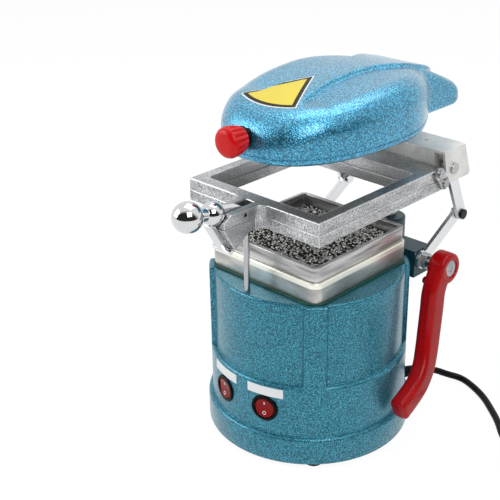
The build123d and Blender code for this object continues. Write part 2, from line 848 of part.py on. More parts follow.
def arm_screws():
    """Shoulder screws through the cheeks and the upper links into the block."""
    shank = rod_x(arm_screw_radius, block_half_width - 8, frame_half_width,
                  carriage_pivot_y, carriage_pivot_z)
    head = rod_x(spacer_radius, frame_half_width, frame_half_width + screw_head_height,
                 carriage_pivot_y, carriage_pivot_z)
    return both_sides(shank + head)


def arm_spacers():
    """Rings between the block and the upper links."""
    ring = rod_x(spacer_radius, block_half_width, upper_arm_inner - face_gap,
                 carriage_pivot_y, carriage_pivot_z)
    ring -= rod_x(arm_screw_radius, 0, through, carriage_pivot_y, carriage_pivot_z)
    return both_sides(ring)


# ------------------------------------------------------------------ lever and links
def lever_shaft():
    """The shaft across the bracket; the lower links and the handle are fixed on it."""
    right_end = handle_inner + handle_thickness - handle_screw_height
    shaft = rod_x(shaft_radius, shaft_left_end, right_end, shaft_y, shaft_z)
    return chamfer(shaft.edges().sort_by(Axis.X)[0], 0.8)


def lower_arms():
    """The two links on the shaft."""
    outline = link((shaft_y, shaft_z), (knee_y, knee_z), arm_half_width)
    outline += Pos(shaft_y, shaft_z) * Circle(shaft_eye_radius)
    outline -= Pos(shaft_y, shaft_z) * Circle(shaft_radius)
    outline -= Pos(knee_y, knee_z) * Circle(knee_pin_radius)
    return both_sides(side_plate(outline, lower_arm_inner, lower_arm_inner + arm_thickness))


def upper_arms():
    """The two links that hang from the carriage's cheeks."""
    outline = link((carriage_pivot_y, carriage_pivot_z), (knee_y, knee_z), arm_half_width)
    outline -= Pos(carriage_pivot_y, carriage_pivot_z) * Circle(arm_screw_radius + running_gap)
    outline -= Pos(knee_y, knee_z) * Circle(knee_pin_radius)
    return both_sides(side_plate(outline, upper_arm_inner, upper_arm_inner + arm_thickness - face_gap))


def knee_pins():
    """The knee's pins, riveted in the lower links and ending level with their outer faces."""
    head = rod_x(knee_head_radius, lower_arm_inner - knee_head_height, lower_arm_inner, knee_y, knee_z)
    shank = rod_x(knee_pin_radius, lower_arm_inner, lower_arm_inner + arm_thickness, knee_y, knee_z)
    return both_sides(head + shank)


def knee_nuts():
    """The knee's outer ends, fixed in the upper links."""
    outer = upper_arm_inner + arm_thickness - face_gap
    shank = rod_x(knee_pin_radius, upper_arm_inner, outer, knee_y, knee_z)
    head = rod_x(knee_head_radius, outer, outer + knee_head_height, knee_y, knee_z)
    return both_sides(shank + head)


def hex_nut(x_low, x_high, hole):
    """A hexagon nut lying along X on the lever's shaft."""
    outline = Pos(shaft_y, shaft_z) * RegularPolygon(nut_radius, 6)
    return side_plate(outline - Pos(shaft_y, shaft_z) * Circle(hole), x_low, x_high)


def shaft_nuts():
    """A nut outside each lower link."""
    outer = lower_arm_inner + arm_thickness
    return [hex_nut(outer, outer + 5, shaft_radius), hex_nut(-outer - 5, -outer, shaft_radius)]


def handle_spacer():
    """The bright collar between the right-hand nut and the handle's head."""
    start = lower_arm_inner + arm_thickness + 5
    ring = rod_x(shaft_radius + 2.2, start, handle_inner, shaft_y, shaft_z)
    return ring - rod_x(shaft_radius, 0, through, shaft_y, shaft_z)


def handle_planes():
    """The planes of the handle's sections, each square to the path where it stands."""
    planes = []
    points = [Vector(handle_inner + x, y, z) for x, y, z in handle_path]
    for index, point in enumerate(points):
        before = points[max(index - 1, 0)]
        after = points[min(index + 1, len(points) - 1)]
        planes.append(Plane(origin=point, x_dir=(1, 0, 0), z_dir=after - before))
    return planes


def lever_handle():
    """The pull handle: a round head on the shaft and a limb bent forward round the drum."""
    outer = handle_inner + handle_thickness
    head = rod_x(handle_head_radius, handle_inner, outer, shaft_y, shaft_z)
    head = fillet(head.edges(), 1.8)
    section = RectangleRounded(handle_thickness - 1, handle_width, handle_corner)
    planes = handle_planes()
    limb = loft([plane * section for plane in planes])
    root = Plane(origin=(planes[0].origin.X - 0.3, shaft_y - 1, shaft_z - 1), x_dir=(1, 0, 0),
                 z_dir=planes[0].z_dir)
    root_section = RectangleRounded(handle_thickness - 1, handle_width + 3, handle_corner)
    limb += loft([root * root_section, planes[0] * section])
    body = head + limb
    body -= rod_x(shaft_radius, handle_inner - 1, outer, shaft_y, shaft_z)
    return body - rod_x(handle_screw_radius, outer - handle_screw_height, outer + 1, shaft_y, shaft_z)


def handle_screw():
    """The large screw cap in the handle's head."""
    outer = handle_inner + handle_thickness
    return rod_x(handle_screw_radius, outer - handle_screw_height, outer + 0.4, shaft_y, shaft_z)


# ------------------------------------------------------------------ ball catch
def catch_line():
    """The wedge ear's front face: its foot below the catch's pivot, its run and its outward side."""
    run = Vector(ear_tip_y - ear_front, ear_tip_z - lower_frame_top, 0).normalized()
    outward = Vector(run.Y, -run.X, 0)
    pivot = Vector(catch_pivot_y, catch_pivot_z, 0)
    start = Vector(ear_front, lower_frame_top, 0)
    foot = pivot + outward * (start - pivot).dot(outward)
    return foot, run, outward


def ball_catch():
    """The ball lever: an eye in the slot, two balls on a neck, and an arm with a T-shaped nose."""
    foot, run, outward = catch_line()
    tip = Vector(ear_tip_y, ear_tip_z, 0)
    inner = foot + outward * catch_gap
    tip_run = (tip - foot).dot(run)
    eye = Pos(catch_pivot_y, catch_pivot_z) * Circle(catch_eye_radius)
    shoulder = inner - run * 14
    low = inner + run * (tip_run + 1.2)
    arm = polygon(
        (shoulder.X, shoulder.Y),
        (low.X, low.Y),
        (low.X + outward.X * catch_arm_thickness, low.Y + outward.Y * catch_arm_thickness),
        (shoulder.X + outward.X * catch_arm_thickness, shoulder.Y + outward.Y * catch_arm_thickness),
    )
    stalk = polygon(
        (catch_pivot_y, catch_pivot_z + catch_eye_radius),
        (catch_pivot_y - 2, catch_pivot_z - catch_eye_radius + 0.6),
        (small_ball_y + 6, small_ball_z - 8),
        (small_ball_y - 4, small_ball_z - 4),
        (small_ball_y, small_ball_z + 4),
    )
    plate = side_plate(eye + stalk + arm, -catch_half_width, catch_half_width)
    high = inner + run * (tip_run - catch_nose_length + 1.2)
    nose = polygon(
        (high.X, high.Y),
        (low.X, low.Y),
        (low.X + outward.X * catch_arm_thickness, low.Y + outward.Y * catch_arm_thickness),
        (high.X + outward.X * catch_arm_thickness, high.Y + outward.Y * catch_arm_thickness),
    )
    lever = plate + side_plate(nose, -catch_nose_half_width, catch_nose_half_width)
    lever += Pos(0, big_ball_y, big_ball_z) * Sphere(big_ball_radius)
    lever += Pos(0, small_ball_y, small_ball_z) * Sphere(small_ball_radius)
    along = Vector(0, big_ball_y - small_ball_y, big_ball_z - small_ball_z)
    neck = Plane(origin=(0, small_ball_y, small_ball_z), z_dir=along)
    lever += extrude(neck * Circle(ball_neck_radius), along.length)
    return lever - rod_x(catch_pin_radius + running_gap, -20, 20, catch_pivot_y, catch_pivot_z)


def catch_pin():
    """The cross pin through the upper ear that the catch turns on."""
    return rod_x(catch_pin_radius, -ear_half_width, ear_half_width, catch_pivot_y, catch_pivot_z)


# ------------------------------------------------------------------ heater head
def head_plan(grow):
    """The head from above: a full rounded front, half an ellipse behind and a blunt neck."""
    half = head_half_width + grow
    reach = head_front_length + grow
    outline = []
    for step in range(-12, 13):
        angle = math.radians(step * 7.5)
        x = half * math.copysign(abs(math.sin(angle)) ** (2 / head_fullness), angle)
        outline.append((x, head_centre_y - reach * math.cos(angle) ** (2 / head_fullness)))
    outline[0] = (-half, head_centre_y)
    outline[-1] = (half, head_centre_y)
    brow = Spline(*outline, tangents=((0, -1), (0, 1)))
    front = make_face(brow + Line((half, head_centre_y), (-half, head_centre_y)))
    rear = Pos(0, head_centre_y) * Ellipse(half, head_rear_length + grow)
    rear &= Pos(0, head_centre_y + through / 2) * Rectangle(through, through)
    neck_length = neck_rear + grow - head_centre_y
    neck = Pos(0, head_centre_y + neck_length / 2) * Rectangle(2 * (neck_half_width + grow), neck_length)
    neck = fillet(neck.vertices().group_by(Axis.Y)[-1], neck_corner + grow)
    plan = front + rear + neck
    corners = plan.vertices().filter_by(lambda v: head_centre_y + 1 < v.Y < neck_rear - neck_corner - 5)
    return fillet(corners, neck_blend)


def head_side(drop):
    """The head from the side: low at the brow, highest over the middle, sloping down to the neck."""
    top = Spline(
        (-90, 286 - drop), (-60, 300 - drop), (-20, 309.5 - drop), (40, 313.5 - drop), (90, 311.5 - drop),
        (125, 302 - drop), (150, 290 - drop), (175, 276 - drop),
    )
    bottom = Polyline((175, 276 - drop), (175, head_bottom), (-90, head_bottom), (-90, 286 - drop))
    return make_face(top + bottom)


def head_body(grow, drop, shoulder):
    """The head's outer form, its shoulder rounded all the way round and its lip tucked in."""
    body = flat_plate(head_plan(grow), head_bottom, 330) & side_plate(head_side(drop), -120, 120)
    crown = body.faces().sort_by(Axis.Z)[-1]
    return fillet(crown.edges(), shoulder)


def spine_plan():
    """The raised spine: a fan at the brow, a waist and a swell with a round end on the neck."""
    edge = (
        (spine_fan_half + 14, -90), (spine_fan_half, spine_fan_y), (spine_waist_half, spine_waist_y),
        (spine_swell_half, spine_swell_y), (spine_swell_half - 1, spine_swell_y + 20),
    )
    left = [(-x, y) for x, y in reversed(edge)]
    rim = Spline(*edge, (spine_swell_half - 8, spine_end_y - 6), (0, spine_end_y),
                 (8 - spine_swell_half, spine_end_y - 6), *left)
    return make_face(rim + Polyline(left[-1], edge[0]))


def heater_shell():
    """The cast head: a shell with a raised spine, a hollow for the heater and the column's bore."""
    full = head_body(0, 0, head_shoulder)
    lowered = head_body(1.5, spine_depth, head_shoulder + 1.5)
    wings = flat_plate(Rectangle(2 * through, 2 * through) - spine_plan(), head_bottom + 4, through) - lowered
    body = full - wings
    body = fillet(body.edges().group_by(Axis.Z)[0], head_lip_round)
    hollow = Pos(0, cavity_centre_y) * Ellipse(cavity_half_width, cavity_half_length)
    body -= flat_plate(hollow, head_bottom - 1, cavity_top)
    body -= flat_plate(Pos(0, cavity_centre_y) * Ellipse(*roof_pocket), cavity_top - 1, roof_pocket_top)
    neck_floor = Pos(0, column_y) * Circle(neck_half_width - 9)
    body += flat_plate(neck_floor, neck_bottom, head_bottom + 1)
    body -= rod_z(column_radius + running_gap, 0, column_y, frame_seam, column_top + face_gap)
    body -= rod_y(knob_stem_radius, 0, knob_front, knob_stem_end, knob_z)
    return body


def swing_collar():
    """The clamped ring on the column that the heater head rests and turns on."""
    top = neck_bottom - face_gap
    ring = rod_z(swing_collar_radius, 0, column_y, top - swing_collar_height, top)
    ring = chamfer(ring.edges().group_by(Axis.Z)[0], 1)
    return ring - rod_z(column_radius, 0, column_y, 0, through)


def heater_posts():
    """Four ceramic posts between the head's roof and the heater plate."""
    reach = heater_plate_width / 2 - 12
    top = heater_plate_bottom + heater_plate_thickness
    posts = []
    for x in (-reach, reach):
        for y in (-reach, reach):
            posts.append(rod_z(post_radius, x, y + cavity_centre_y, top + reflector_thickness, cavity_top))
    return posts


def heater_plate():
    """The square ceramic plate that carries the heating coil."""
    outline = Pos(0, cavity_centre_y) * RectangleRounded(heater_plate_width - 14, heater_plate_width, 10)
    return flat_plate(outline, heater_plate_bottom, heater_plate_bottom + heater_plate_thickness)


def reflector():
    """The bright sheet above the ceramic plate that throws the heat down."""
    bottom = heater_plate_bottom + heater_plate_thickness
    outline = Pos(0, cavity_centre_y) * Ellipse(cavity_half_width - 1, cavity_half_length - 1)
    return flat_plate(outline, bottom, bottom + reflector_thickness)


def heating_coil():
    """The heating element: four rings under the ceramic plate, joined by a bar."""
    low = heater_plate_bottom - coil_section
    half = coil_section / 2
    element = block(-half, half, -coil_ring_radii[-1], -coil_ring_radii[0], low, heater_plate_bottom)
    for radius in coil_ring_radii:
        ring = rod_z(radius + half, 0, 0, low, heater_plate_bottom)
        element += ring - rod_z(radius - half, 0, 0, 0, through)
    return Pos(0, cavity_centre_y) * element


def heater_knob():
    """The red fluted knob, larger at its front."""
    length = knob_rear - knob_front
    seat = Plane(origin=(0, knob_rear, knob_z), x_dir=(1, 0, 0), z_dir=(0, -1, 0))
    rear = seat * Circle(knob_radius_rear)
    front = seat.offset(length - 2) * Circle(knob_radius_front)
    body = loft([rear, front]) + extrude(seat.offset(length - 2) * Circle(knob_radius_front), 2)
    body = fillet(body.edges().group_by(Axis.Y)[0], 1.6)
    for flute in range(knob_flutes):
        x, z = polar(knob_radius_front + 0.4, 360 / knob_flutes * flute)
        body -= rod_y(knob_flute_radius, x, knob_front - 1, knob_rear + 1, knob_z + z)
    return body


def knob_stem():
    """The dark stem and washer between the knob and the head."""
    washer_front = knob_rear + knob_washer_thickness
    washer = rod_y(knob_washer_radius, 0, knob_rear, washer_front, knob_z)
    return washer + rod_y(knob_stem_radius, 0, washer_front, knob_stem_end, knob_z)


# ------------------------------------------------------------------ switches
def switch_housing(angle):
    """A round switch: a bezel on the band's spot face, and a body behind it."""
    seat = radial(angle, switch_seat, switch_z)
    body = extrude(seat * Circle(bezel_radius), bezel_thickness)
    body = fillet(body.edges().filter_by(GeomType.CIRCLE).sort_by(SortBy.DISTANCE)[-1], 1)
    body += extrude(seat * Circle(switch_body_radius), -switch_body_depth)
    well = rocker_radius + rocker_play
    body -= extrude(seat.offset(bezel_thickness + 1) * Circle(well), -(bezel_thickness + 9))
    pin = Plane(origin=seat.origin, x_dir=seat.z_dir, z_dir=seat.y_dir)
    return body - extrude(pin * Circle(rocker_pin_radius + running_gap), well + 0.9, both=True)


def switch_rocker(angle):
    """The red rocker on its two trunnions, with a hollowed face."""
    seat = radial(angle, switch_seat, switch_z)
    body = extrude(seat.offset(-rocker_depth) * Circle(rocker_radius), rocker_depth + bezel_thickness)
    dish = Plane(origin=seat.origin + seat.z_dir * (bezel_thickness + 30), x_dir=seat.x_dir,
                 z_dir=seat.y_dir)
    body -= extrude(dish * Circle(30.9), 20, both=True)
    pin = Plane(origin=seat.origin, x_dir=seat.z_dir, z_dir=seat.y_dir)
    return body + extrude(pin * Circle(rocker_pin_radius), rocker_radius + rocker_play + 0.7, both=True)


def switch_labels():
    """The two thin label plates above the switches, curved with the band."""
    labels = []
    half_turn = math.degrees(label_width / band_radius / 2)
    for angle in switch_angles:
        ring = Circle(band_radius + label_thickness) - Circle(band_radius)
        start = polar(2 * band_radius, angle - half_turn)
        end = polar(2 * band_radius, angle + half_turn)
        sector = polygon((0, 0), start, end)
        labels.append(flat_plate(ring & sector, label_bottom, label_bottom + label_height))
    return labels


# ------------------------------------------------------------------ power cord
def cord_gland():
    """The flanged gland in the drum's rear wall with its tapered strain relief."""
    seat = radial(cord_exit_angle, flange_radius - 1, cord_exit_z)
    flange = extrude(seat * Circle(gland_radius), gland_thickness)
    inner = extrude(seat * Circle(relief_tip_radius), -12)
    root = seat.offset(gland_thickness) * Circle(relief_root_radius)
    tip = seat.offset(relief_length) * Circle(relief_tip_radius)
    return flange + inner + loft([root, tip])


def cord_start():
    """Where the cord leaves the strain relief."""
    return radial(cord_exit_angle, flange_radius - 1 + relief_length, cord_exit_z).origin


def coil_outline():
    """The coil's section: two layers of turns with a rounded outside."""
    width = 2 * coil_half_width
    return RectangleRounded(width, coil_height, cord_radius)


def cord_points():
    """The cord's route from the relief into the coil's outer turn."""
    x, y = polar(coil_mean_radius + coil_half_width - cord_radius, coil_entry_angle)
    end = Vector(coil_centre[0] + x, coil_centre[1] + y, cord_route[-1][2])
    return [cord_start(), *[Vector(*point) for point in cord_route], end]


def cord_run(points):
    """A cord along the points: straight stretches joined by tangent arcs, up to the coil's face."""
    radii = []
    for before, corner, after in zip(points, points[1:], points[2:]):
        turn = math.radians((corner - before).get_angle(after - corner))
        shorter = min((corner - before).length, (after - corner).length)
        radii.append(cord_bend_share * shorter / math.tan(turn / 2))
    path = FilletPolyline(*points, radius=radii)
    section = Plane(origin=points[0], z_dir=points[1] - points[0]) * Circle(cord_radius)
    return sweep(section, path=path) - cord_coil()


def power_cord():
    """The cord's free run from the relief to the coil."""
    return cord_run(cord_points()) - cord_gland()


def cord_coil():
    """The stored length of the cord, wound in a flat round coil."""
    ring = Plane.XZ * (Pos(coil_mean_radius, coil_height / 2) * coil_outline())
    return Pos(coil_centre[0], coil_centre[1], 0) * revolve(ring, Axis.Z)


def cord_tie():
    """The tie round the coil's turns."""
    width = 2 * coil_half_width
    loop = RectangleRounded(width + 2.6, coil_height + 1.3, cord_radius)
    loop -= Pos(0, -0.35) * RectangleRounded(width + 0.6, coil_height + 0.6, cord_radius)
    band = extrude(Plane.XZ * (Pos(coil_mean_radius, coil_height / 2 + 0.65) * loop), 3, both=True)
    return Pos(coil_centre[0], coil_centre[1], 0) * Rot(0, 0, 60) * band


def power_plug():
    """A plain two-pin plug lying beside the coil, with the cord's last run into it."""
    front_x = coil_centre[0] - plug_length / 2 - 7
    rear_x = front_x + plug_length
    y = coil_centre[1] + coil_mean_radius + coil_half_width + plug_radius + 1
    last_run = cord_run([
        Vector(rear_x - 2, y, plug_radius),
        Vector(rear_x + 18, y, plug_radius - 1),
        Vector(rear_x + 28, y - 14, plug_radius - 3),
        Vector(rear_x + 26, y - 39, coil_height / 2),
    ])
    body = rod_x(plug_radius, front_x, rear_x, y, plug_radius)
    body = fillet(body.edges(), 2.5)
    for side in (-1, 1):
        pin_y = y + side * plug_pin_spacing / 2 * 0.9
        body += rod_x(plug_pin_radius, front_x - plug_pin_length, front_x, pin_y, plug_radius)
    return body + last_run


# ------------------------------------------------------------------ write the pieces
def pieces():
    """Every named piece of the machine."""
    named = {
        "base_casting": base_casting(),
        "bottom_cover": bottom_cover(),
        "rubber_feet": rubber_feet(),
        "foot_screws": foot_screws(),
        "motor_mount": motor_mount(),
        "vacuum_motor": vacuum_motor(),
        "motor_shaft": motor_shaft(),
        "fan_housing": fan_housing(),
        "fan_wheel": fan_wheel(),
        "intake_seal": intake_seal(),
        "terminal_block": terminal_block(),
        "vacuum_block": vacuum_block(),
        "block_screws": block_screws(),
        "vent_plate": vent_plate(),
        "ball_tray": ball_tray(),
        "shot_bed": shot_bed(),
        "rear_bracket": rear_bracket(),
        "bracket_screws": bracket_screws(),
        "guide_column": guide_column(),
        "front_guide_pin": front_guide_pin(),
        "upper_frame": upper_frame(),
        "lower_frame": lower_frame(),
        "tongue_screws": tongue_screws(),
        "hinge_plates": hinge_plates(),
        "hinge_screws": hinge_screws(),
        "carriage_block": carriage_block(),
        "column_bush": column_bush(),
        "carriage_cover": carriage_cover(),
        "arm_screws": arm_screws(),
        "arm_spacers": arm_spacers(),
        "lever_shaft": lever_shaft(),
        "lower_arms": lower_arms(),
        "upper_arms": upper_arms(),
        "knee_pins": knee_pins(),
        "knee_nuts": knee_nuts(),
        "shaft_nuts": shaft_nuts(),
        "handle_spacer": handle_spacer(),
        "lever_handle": lever_handle(),
        "handle_screw": handle_screw(),
        "ball_catch": ball_catch(),
        "catch_pin": catch_pin(),
        "heater_shell": heater_shell(),
        "swing_collar": swing_collar(),
        "heater_posts": heater_posts(),
        "heater_plate": heater_plate(),
        "reflector": reflector(),
        "heating_coil": heating_coil(),
        "heater_knob": heater_knob(),
        "knob_stem": knob_stem(),
        "switch_labels": switch_labels(),
        "cord_gland": cord_gland(),
        "power_cord": power_cord(),
        "cord_coil": cord_coil(),
        "cord_tie": cord_tie(),
        "power_plug": power_plug(),
    }
    for side, angle in zip(("right", "left"), switch_angles):
        named["switch_housing_" + side] = switch_housing(angle)
        named["switch_rocker_" + side] = switch_rocker(angle)
    return named


def lever_turn():
    """The angle in degrees that the lever's shaft turns while the carriage makes its full travel."""
    down = carriage_pivot_z - carriage_travel
    reach = math.hypot(carriage_pivot_y - shaft_y, down - shaft_z)
    along = (lower_arm_length ** 2 - upper_arm_length ** 2 + reach ** 2) / (2 * reach)
    across = math.sqrt(lower_arm_length ** 2 - along ** 2)
    forward = math.atan2(down - shaft_z, carriage_pivot_y - shaft_y)
    low_angle = forward - math.atan2(across, along)
    rest_angle = math.atan2(knee_z - shaft_z, knee_y - shaft_y)
    return math.degrees(rest_angle - low_angle)


os.makedirs("parts", exist_ok=True)
for name, shape in pieces().items():
    solids = Compound(children=list(shape)) if isinstance(shape, list) else shape
    export_step(solids, f"parts/{name}.step")
print("lever turns", round(lever_turn(), 2), "degrees over", carriage_travel, "mm")
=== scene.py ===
"""Looks of a dental vacuum former: drum base, shot tray, sheet frames, pull lever and heater head.

Every length in the shape code is in millimetres and is turned to metres where a mesh is made.
+Z is up, the front is -Y and the lever is on +X.
"""
import json
import math
import bmesh
import bpy
import numpy as np
from mathutils import Matrix, Vector


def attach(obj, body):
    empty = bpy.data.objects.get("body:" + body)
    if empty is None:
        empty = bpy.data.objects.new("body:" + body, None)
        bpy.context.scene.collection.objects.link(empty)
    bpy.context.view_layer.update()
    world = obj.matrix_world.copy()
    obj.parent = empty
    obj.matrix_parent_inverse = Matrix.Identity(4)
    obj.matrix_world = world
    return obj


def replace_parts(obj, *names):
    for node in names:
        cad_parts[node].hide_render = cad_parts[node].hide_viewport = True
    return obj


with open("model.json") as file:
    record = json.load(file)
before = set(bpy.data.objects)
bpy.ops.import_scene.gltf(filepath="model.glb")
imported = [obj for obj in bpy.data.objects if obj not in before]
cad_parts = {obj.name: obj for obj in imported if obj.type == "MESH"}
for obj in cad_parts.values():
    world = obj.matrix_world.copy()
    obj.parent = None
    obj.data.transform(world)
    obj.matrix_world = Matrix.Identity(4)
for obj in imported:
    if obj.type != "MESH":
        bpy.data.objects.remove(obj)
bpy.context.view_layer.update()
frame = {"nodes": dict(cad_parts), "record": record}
nodes = frame["nodes"]
MM = 0.001


# ------------------------------------------------------------------ materials
def colour(code):
    """An sRGB hex code as a linear colour.

    Each channel is ((c + 0.055) / 1.055) ** 2.4, or c / 12.92 near black.
    """
    parts = [int(code[k:k + 2], 16) / 255 for k in (0, 2, 4)]
    return tuple(c / 12.92 if c <= 0.04045 else ((c + 0.055) / 1.055) ** 2.4 for c in parts) + (1.0,)


def add(tree, kind, inputs=None, stops=(), **settings):
    """Adds one node; an input is a plain value, or another node's output that is linked to it.

    stops are the (position, colour) pairs of a colour ramp.
    """
    node = tree.nodes.new(kind)
    for key, value in settings.items():
        setattr(node, key, value)
    for key, value in (inputs or {}).items():
        if isinstance(value, bpy.types.NodeSocket):
            tree.links.new(value, node.inputs[key])
        else:
            node.inputs[key].default_value = value
    for number, (position, tint) in enumerate(stops):
        ends = node.color_ramp.elements
        stop = ends[number] if number < len(ends) else ends.new(1.0)
        stop.position, stop.color = position, tint
    return node


def new_finish(name):
    """An empty material with its output, its shader and its object coordinates in metres."""
    material = bpy.data.materials.new(name)
    material.use_nodes = True
    tree = material.node_tree
    tree.nodes.clear()
    output = add(tree, "ShaderNodeOutputMaterial")
    shader = add(tree, "ShaderNodeBsdfPrincipled")
    tree.links.new(shader.outputs["BSDF"], output.inputs["Surface"])
    place = add(tree, "ShaderNodeTexCoord").outputs["Object"]
    return material, tree, shader, place


def grey(level):
    """A grey with the same linear value in each channel."""
    return (level, level, level, 1.0)


def tinted(base, share, white=0.0):
    """A linear colour times a share, with a little white added."""
    return tuple(min(c * share + white, 1.0) for c in base[:3]) + (1.0,)


def hammertone(name, tint, cell, contrast, depth, flake, sheen=0.30, gloss=0.15):
    """Hammertone enamel: the film draws into shallow cells, bright flake-rich domes beside darker pits.

    The eye sees a fine two-tone mottle under a soft gloss, with highlights broken into short curved glints.
    cell is the width of one dimple and depth its depth, in millimetres.  contrast is the share by which a
    pit is darker, flake the metallic share, sheen the roughness and gloss the weight of the clear skin.
    """
    material, tree, shader, place = new_finish(name)
    base = colour(tint)
    # The dimples are pushed about by up to about their own width, so that they lie in no rows.
    warp = add(tree, "ShaderNodeTexNoise",
               {"Vector": place, "Scale": 1 / (cell * 1.7 * MM), "Detail": 1.0})
    bent = add(tree, "ShaderNodeMix", {"Factor": 0.0012 * cell, "A": place, "B": warp.outputs["Color"]},
               data_type="RGBA", blend_type="ADD")
    cells = add(tree, "ShaderNodeTexVoronoi",
                {"Vector": bent.outputs["Result"], "Scale": 1 / (cell * MM), "Smoothness": 0.5},
                feature="SMOOTH_F1")
    grain = add(tree, "ShaderNodeTexNoise",
                {"Vector": place, "Scale": 1 / (cell * 0.62 * MM), "Detail": 2.5, "Roughness": 0.6})
    blend = add(tree, "ShaderNodeMath",
                {0: cells.outputs["Distance"], 1: 0.55, 2: grain.outputs["Fac"]}, operation="MULTIPLY_ADD")
    mottle = add(tree, "ShaderNodeValToRGB", {"Fac": blend.outputs[0]},
                 [(0.54, tinted(base, 1 + contrast * 1.1, 0.09 * contrast)),
                  (0.66, tinted(base, 1 + contrast * 0.3, 0.03 * contrast)),
                  (0.82, tinted(base, 1 - contrast))])
    # The spray's thickness drifts over about 40 mm.
    drift = add(tree, "ShaderNodeTexNoise", {"Vector": place, "Scale": 1 / (40 * MM), "Detail": 2.0})
    shade = add(tree, "ShaderNodeValToRGB", {"Fac": drift.outputs["Fac"]},
                [(0.3, grey(0.90)), (0.7, grey(1.0))])
    paint = add(tree, "ShaderNodeMix",
                {"Factor": 1.0, "A": mottle.outputs["Color"], "B": shade.outputs["Color"]},
                data_type="RGBA", blend_type="MULTIPLY")
    tree.links.new(paint.outputs["Result"], shader.inputs["Base Color"])
    relief = add(tree, "ShaderNodeBump",
                 {"Height": blend.outputs[0], "Strength": 1.0, "Distance": depth * MM}, invert=True)
    tree.links.new(relief.outputs["Normal"], shader.inputs["Normal"])
    shader.inputs["Metallic"].default_value = flake
    shader.inputs["Roughness"].default_value = sheen
    shader.inputs["Specular IOR Level"].default_value = 0.35
    shader.inputs["Coat Weight"].default_value = gloss
    shader.inputs["Coat Roughness"].default_value = 0.12
    return material


def metal(name, tint, rough, grit, depth, variation, lay=(1.0, 1.0, 1.0), metallic=1.0,
          band=(1.0, 1.0, 1.0), streak_and_reflection_swing=0.0, rub_and_highlight=0.0, edge_radius=0.6, crest=None):
    """A bare metal: the eye sees a grey whose fine sheen runs along the direction it was worked in.

    grit is the width of its scratches or grains and depth their depth, in millimetres; lay shortens them
    along each axis, and variation is the share by which they differ.  A real tool mark is a tenth of a
    millimetre or less, and is drawn up to about a millimetre so that it shows.  band and swing give the
    broad light and dark streaks, as a share of the colour: partly a milled face's banding, partly painted
    reflection of a dark room in the metal.  rub is how far each edge is brightened, over edge_radius
    millimetres: partly wear from handling, partly painted highlight.  crest gives two heights in
    millimetres, between which the colour turns to a pale tint, and that tint: a painted highlight on a
    top land that faces the light.
    """
    material, tree, shader, place = new_finish(name)
    base = colour(tint)
    turn = add(tree, "ShaderNodeMapping", {"Vector": place, "Scale": lay})
    fine = add(tree, "ShaderNodeTexNoise",
               {"Vector": turn.outputs["Vector"], "Scale": 1 / (grit * MM), "Detail": 3.0})
    wide_place = add(tree, "ShaderNodeMapping", {"Vector": place, "Scale": band})
    wide = add(tree, "ShaderNodeTexNoise",
               {"Vector": wide_place.outputs["Vector"], "Scale": 1 / (24 * MM), "Detail": 3.0})
    speckle = add(tree, "ShaderNodeValToRGB", {"Fac": fine.outputs["Fac"]},
                  [(0.3, tinted(base, 1 - variation)), (0.7, tinted(base, 1 + variation))])
    # The broad streaks darken the colour in bands: partly a milled face's banding, partly painted
    # reflection of a dark room in the metal.
    streak_and_reflection = add(tree, "ShaderNodeValToRGB", {"Fac": wide.outputs["Fac"]},
                 [(0.36, grey(1 - streak_and_reflection_swing)), (0.62, grey(1.0))])
    both = add(tree, "ShaderNodeMix",
               {"Factor": 1.0, "A": speckle.outputs["Color"], "B": streak_and_reflection.outputs["Color"]},
               data_type="RGBA", blend_type="MULTIPLY")
    # An edge is where the rounded normal turns away from the face's own; there the colour goes towards near
    # white, partly wear from handling and partly painted highlight.
    edge = add(tree, "ShaderNodeBevel", {"Radius": edge_radius * MM}, samples=6)
    flat = add(tree, "ShaderNodeNewGeometry").outputs["Normal"]
    turned_by = add(tree, "ShaderNodeVectorMath", {0: edge.outputs["Normal"], 1: flat},
                    operation="DOT_PRODUCT")
    rub_and_highlight_mask = add(tree, "ShaderNodeMapRange",
               {"Value": turned_by.outputs["Value"], "From Min": 0.995, "From Max": 0.90,
                "To Min": 0.0, "To Max": rub_and_highlight})
    rubbed_and_lit_edge = add(tree, "ShaderNodeMix",
                 {"Factor": rub_and_highlight_mask.outputs["Result"], "A": both.outputs["Result"], "B": colour("f4f4f2")},
                 data_type="RGBA")
    skin_tint = rubbed_and_lit_edge.outputs["Result"]
    # Above the crest heights the colour turns to a pale cream: painted highlight on a top land that faces
    # the light.
    if crest:
        height = add(tree, "ShaderNodeSeparateXYZ", {"Vector": place}).outputs["Z"]
        lit_top_land = add(tree, "ShaderNodeMapRange",
                   {"Value": height, "From Min": crest[0] * MM, "From Max": crest[1] * MM})
        skin_tint = add(tree, "ShaderNodeMix",
                        {"Factor": lit_top_land.outputs["Result"], "A": skin_tint, "B": colour(crest[2])},
                        data_type="RGBA").outputs["Result"]
    tree.links.new(skin_tint, shader.inputs["Base Color"])
    spread = add(tree, "ShaderNodeMapRange",
                 {"Value": wide.outputs["Fac"], "From Min": 0.3, "From Max": 0.7,
                  "To Min": rough * 1.25, "To Max": rough * 0.8})
    tree.links.new(spread.outputs["Result"], shader.inputs["Roughness"])
    relief = add(tree, "ShaderNodeBump",
                 {"Height": fine.outputs["Fac"], "Strength": 0.6, "Distance": depth * MM,
                  "Normal": edge.outputs["Normal"]})
    tree.links.new(relief.outputs["Normal"], shader.inputs["Normal"])
    shader.inputs["Metallic"].default_value = metallic
    return material


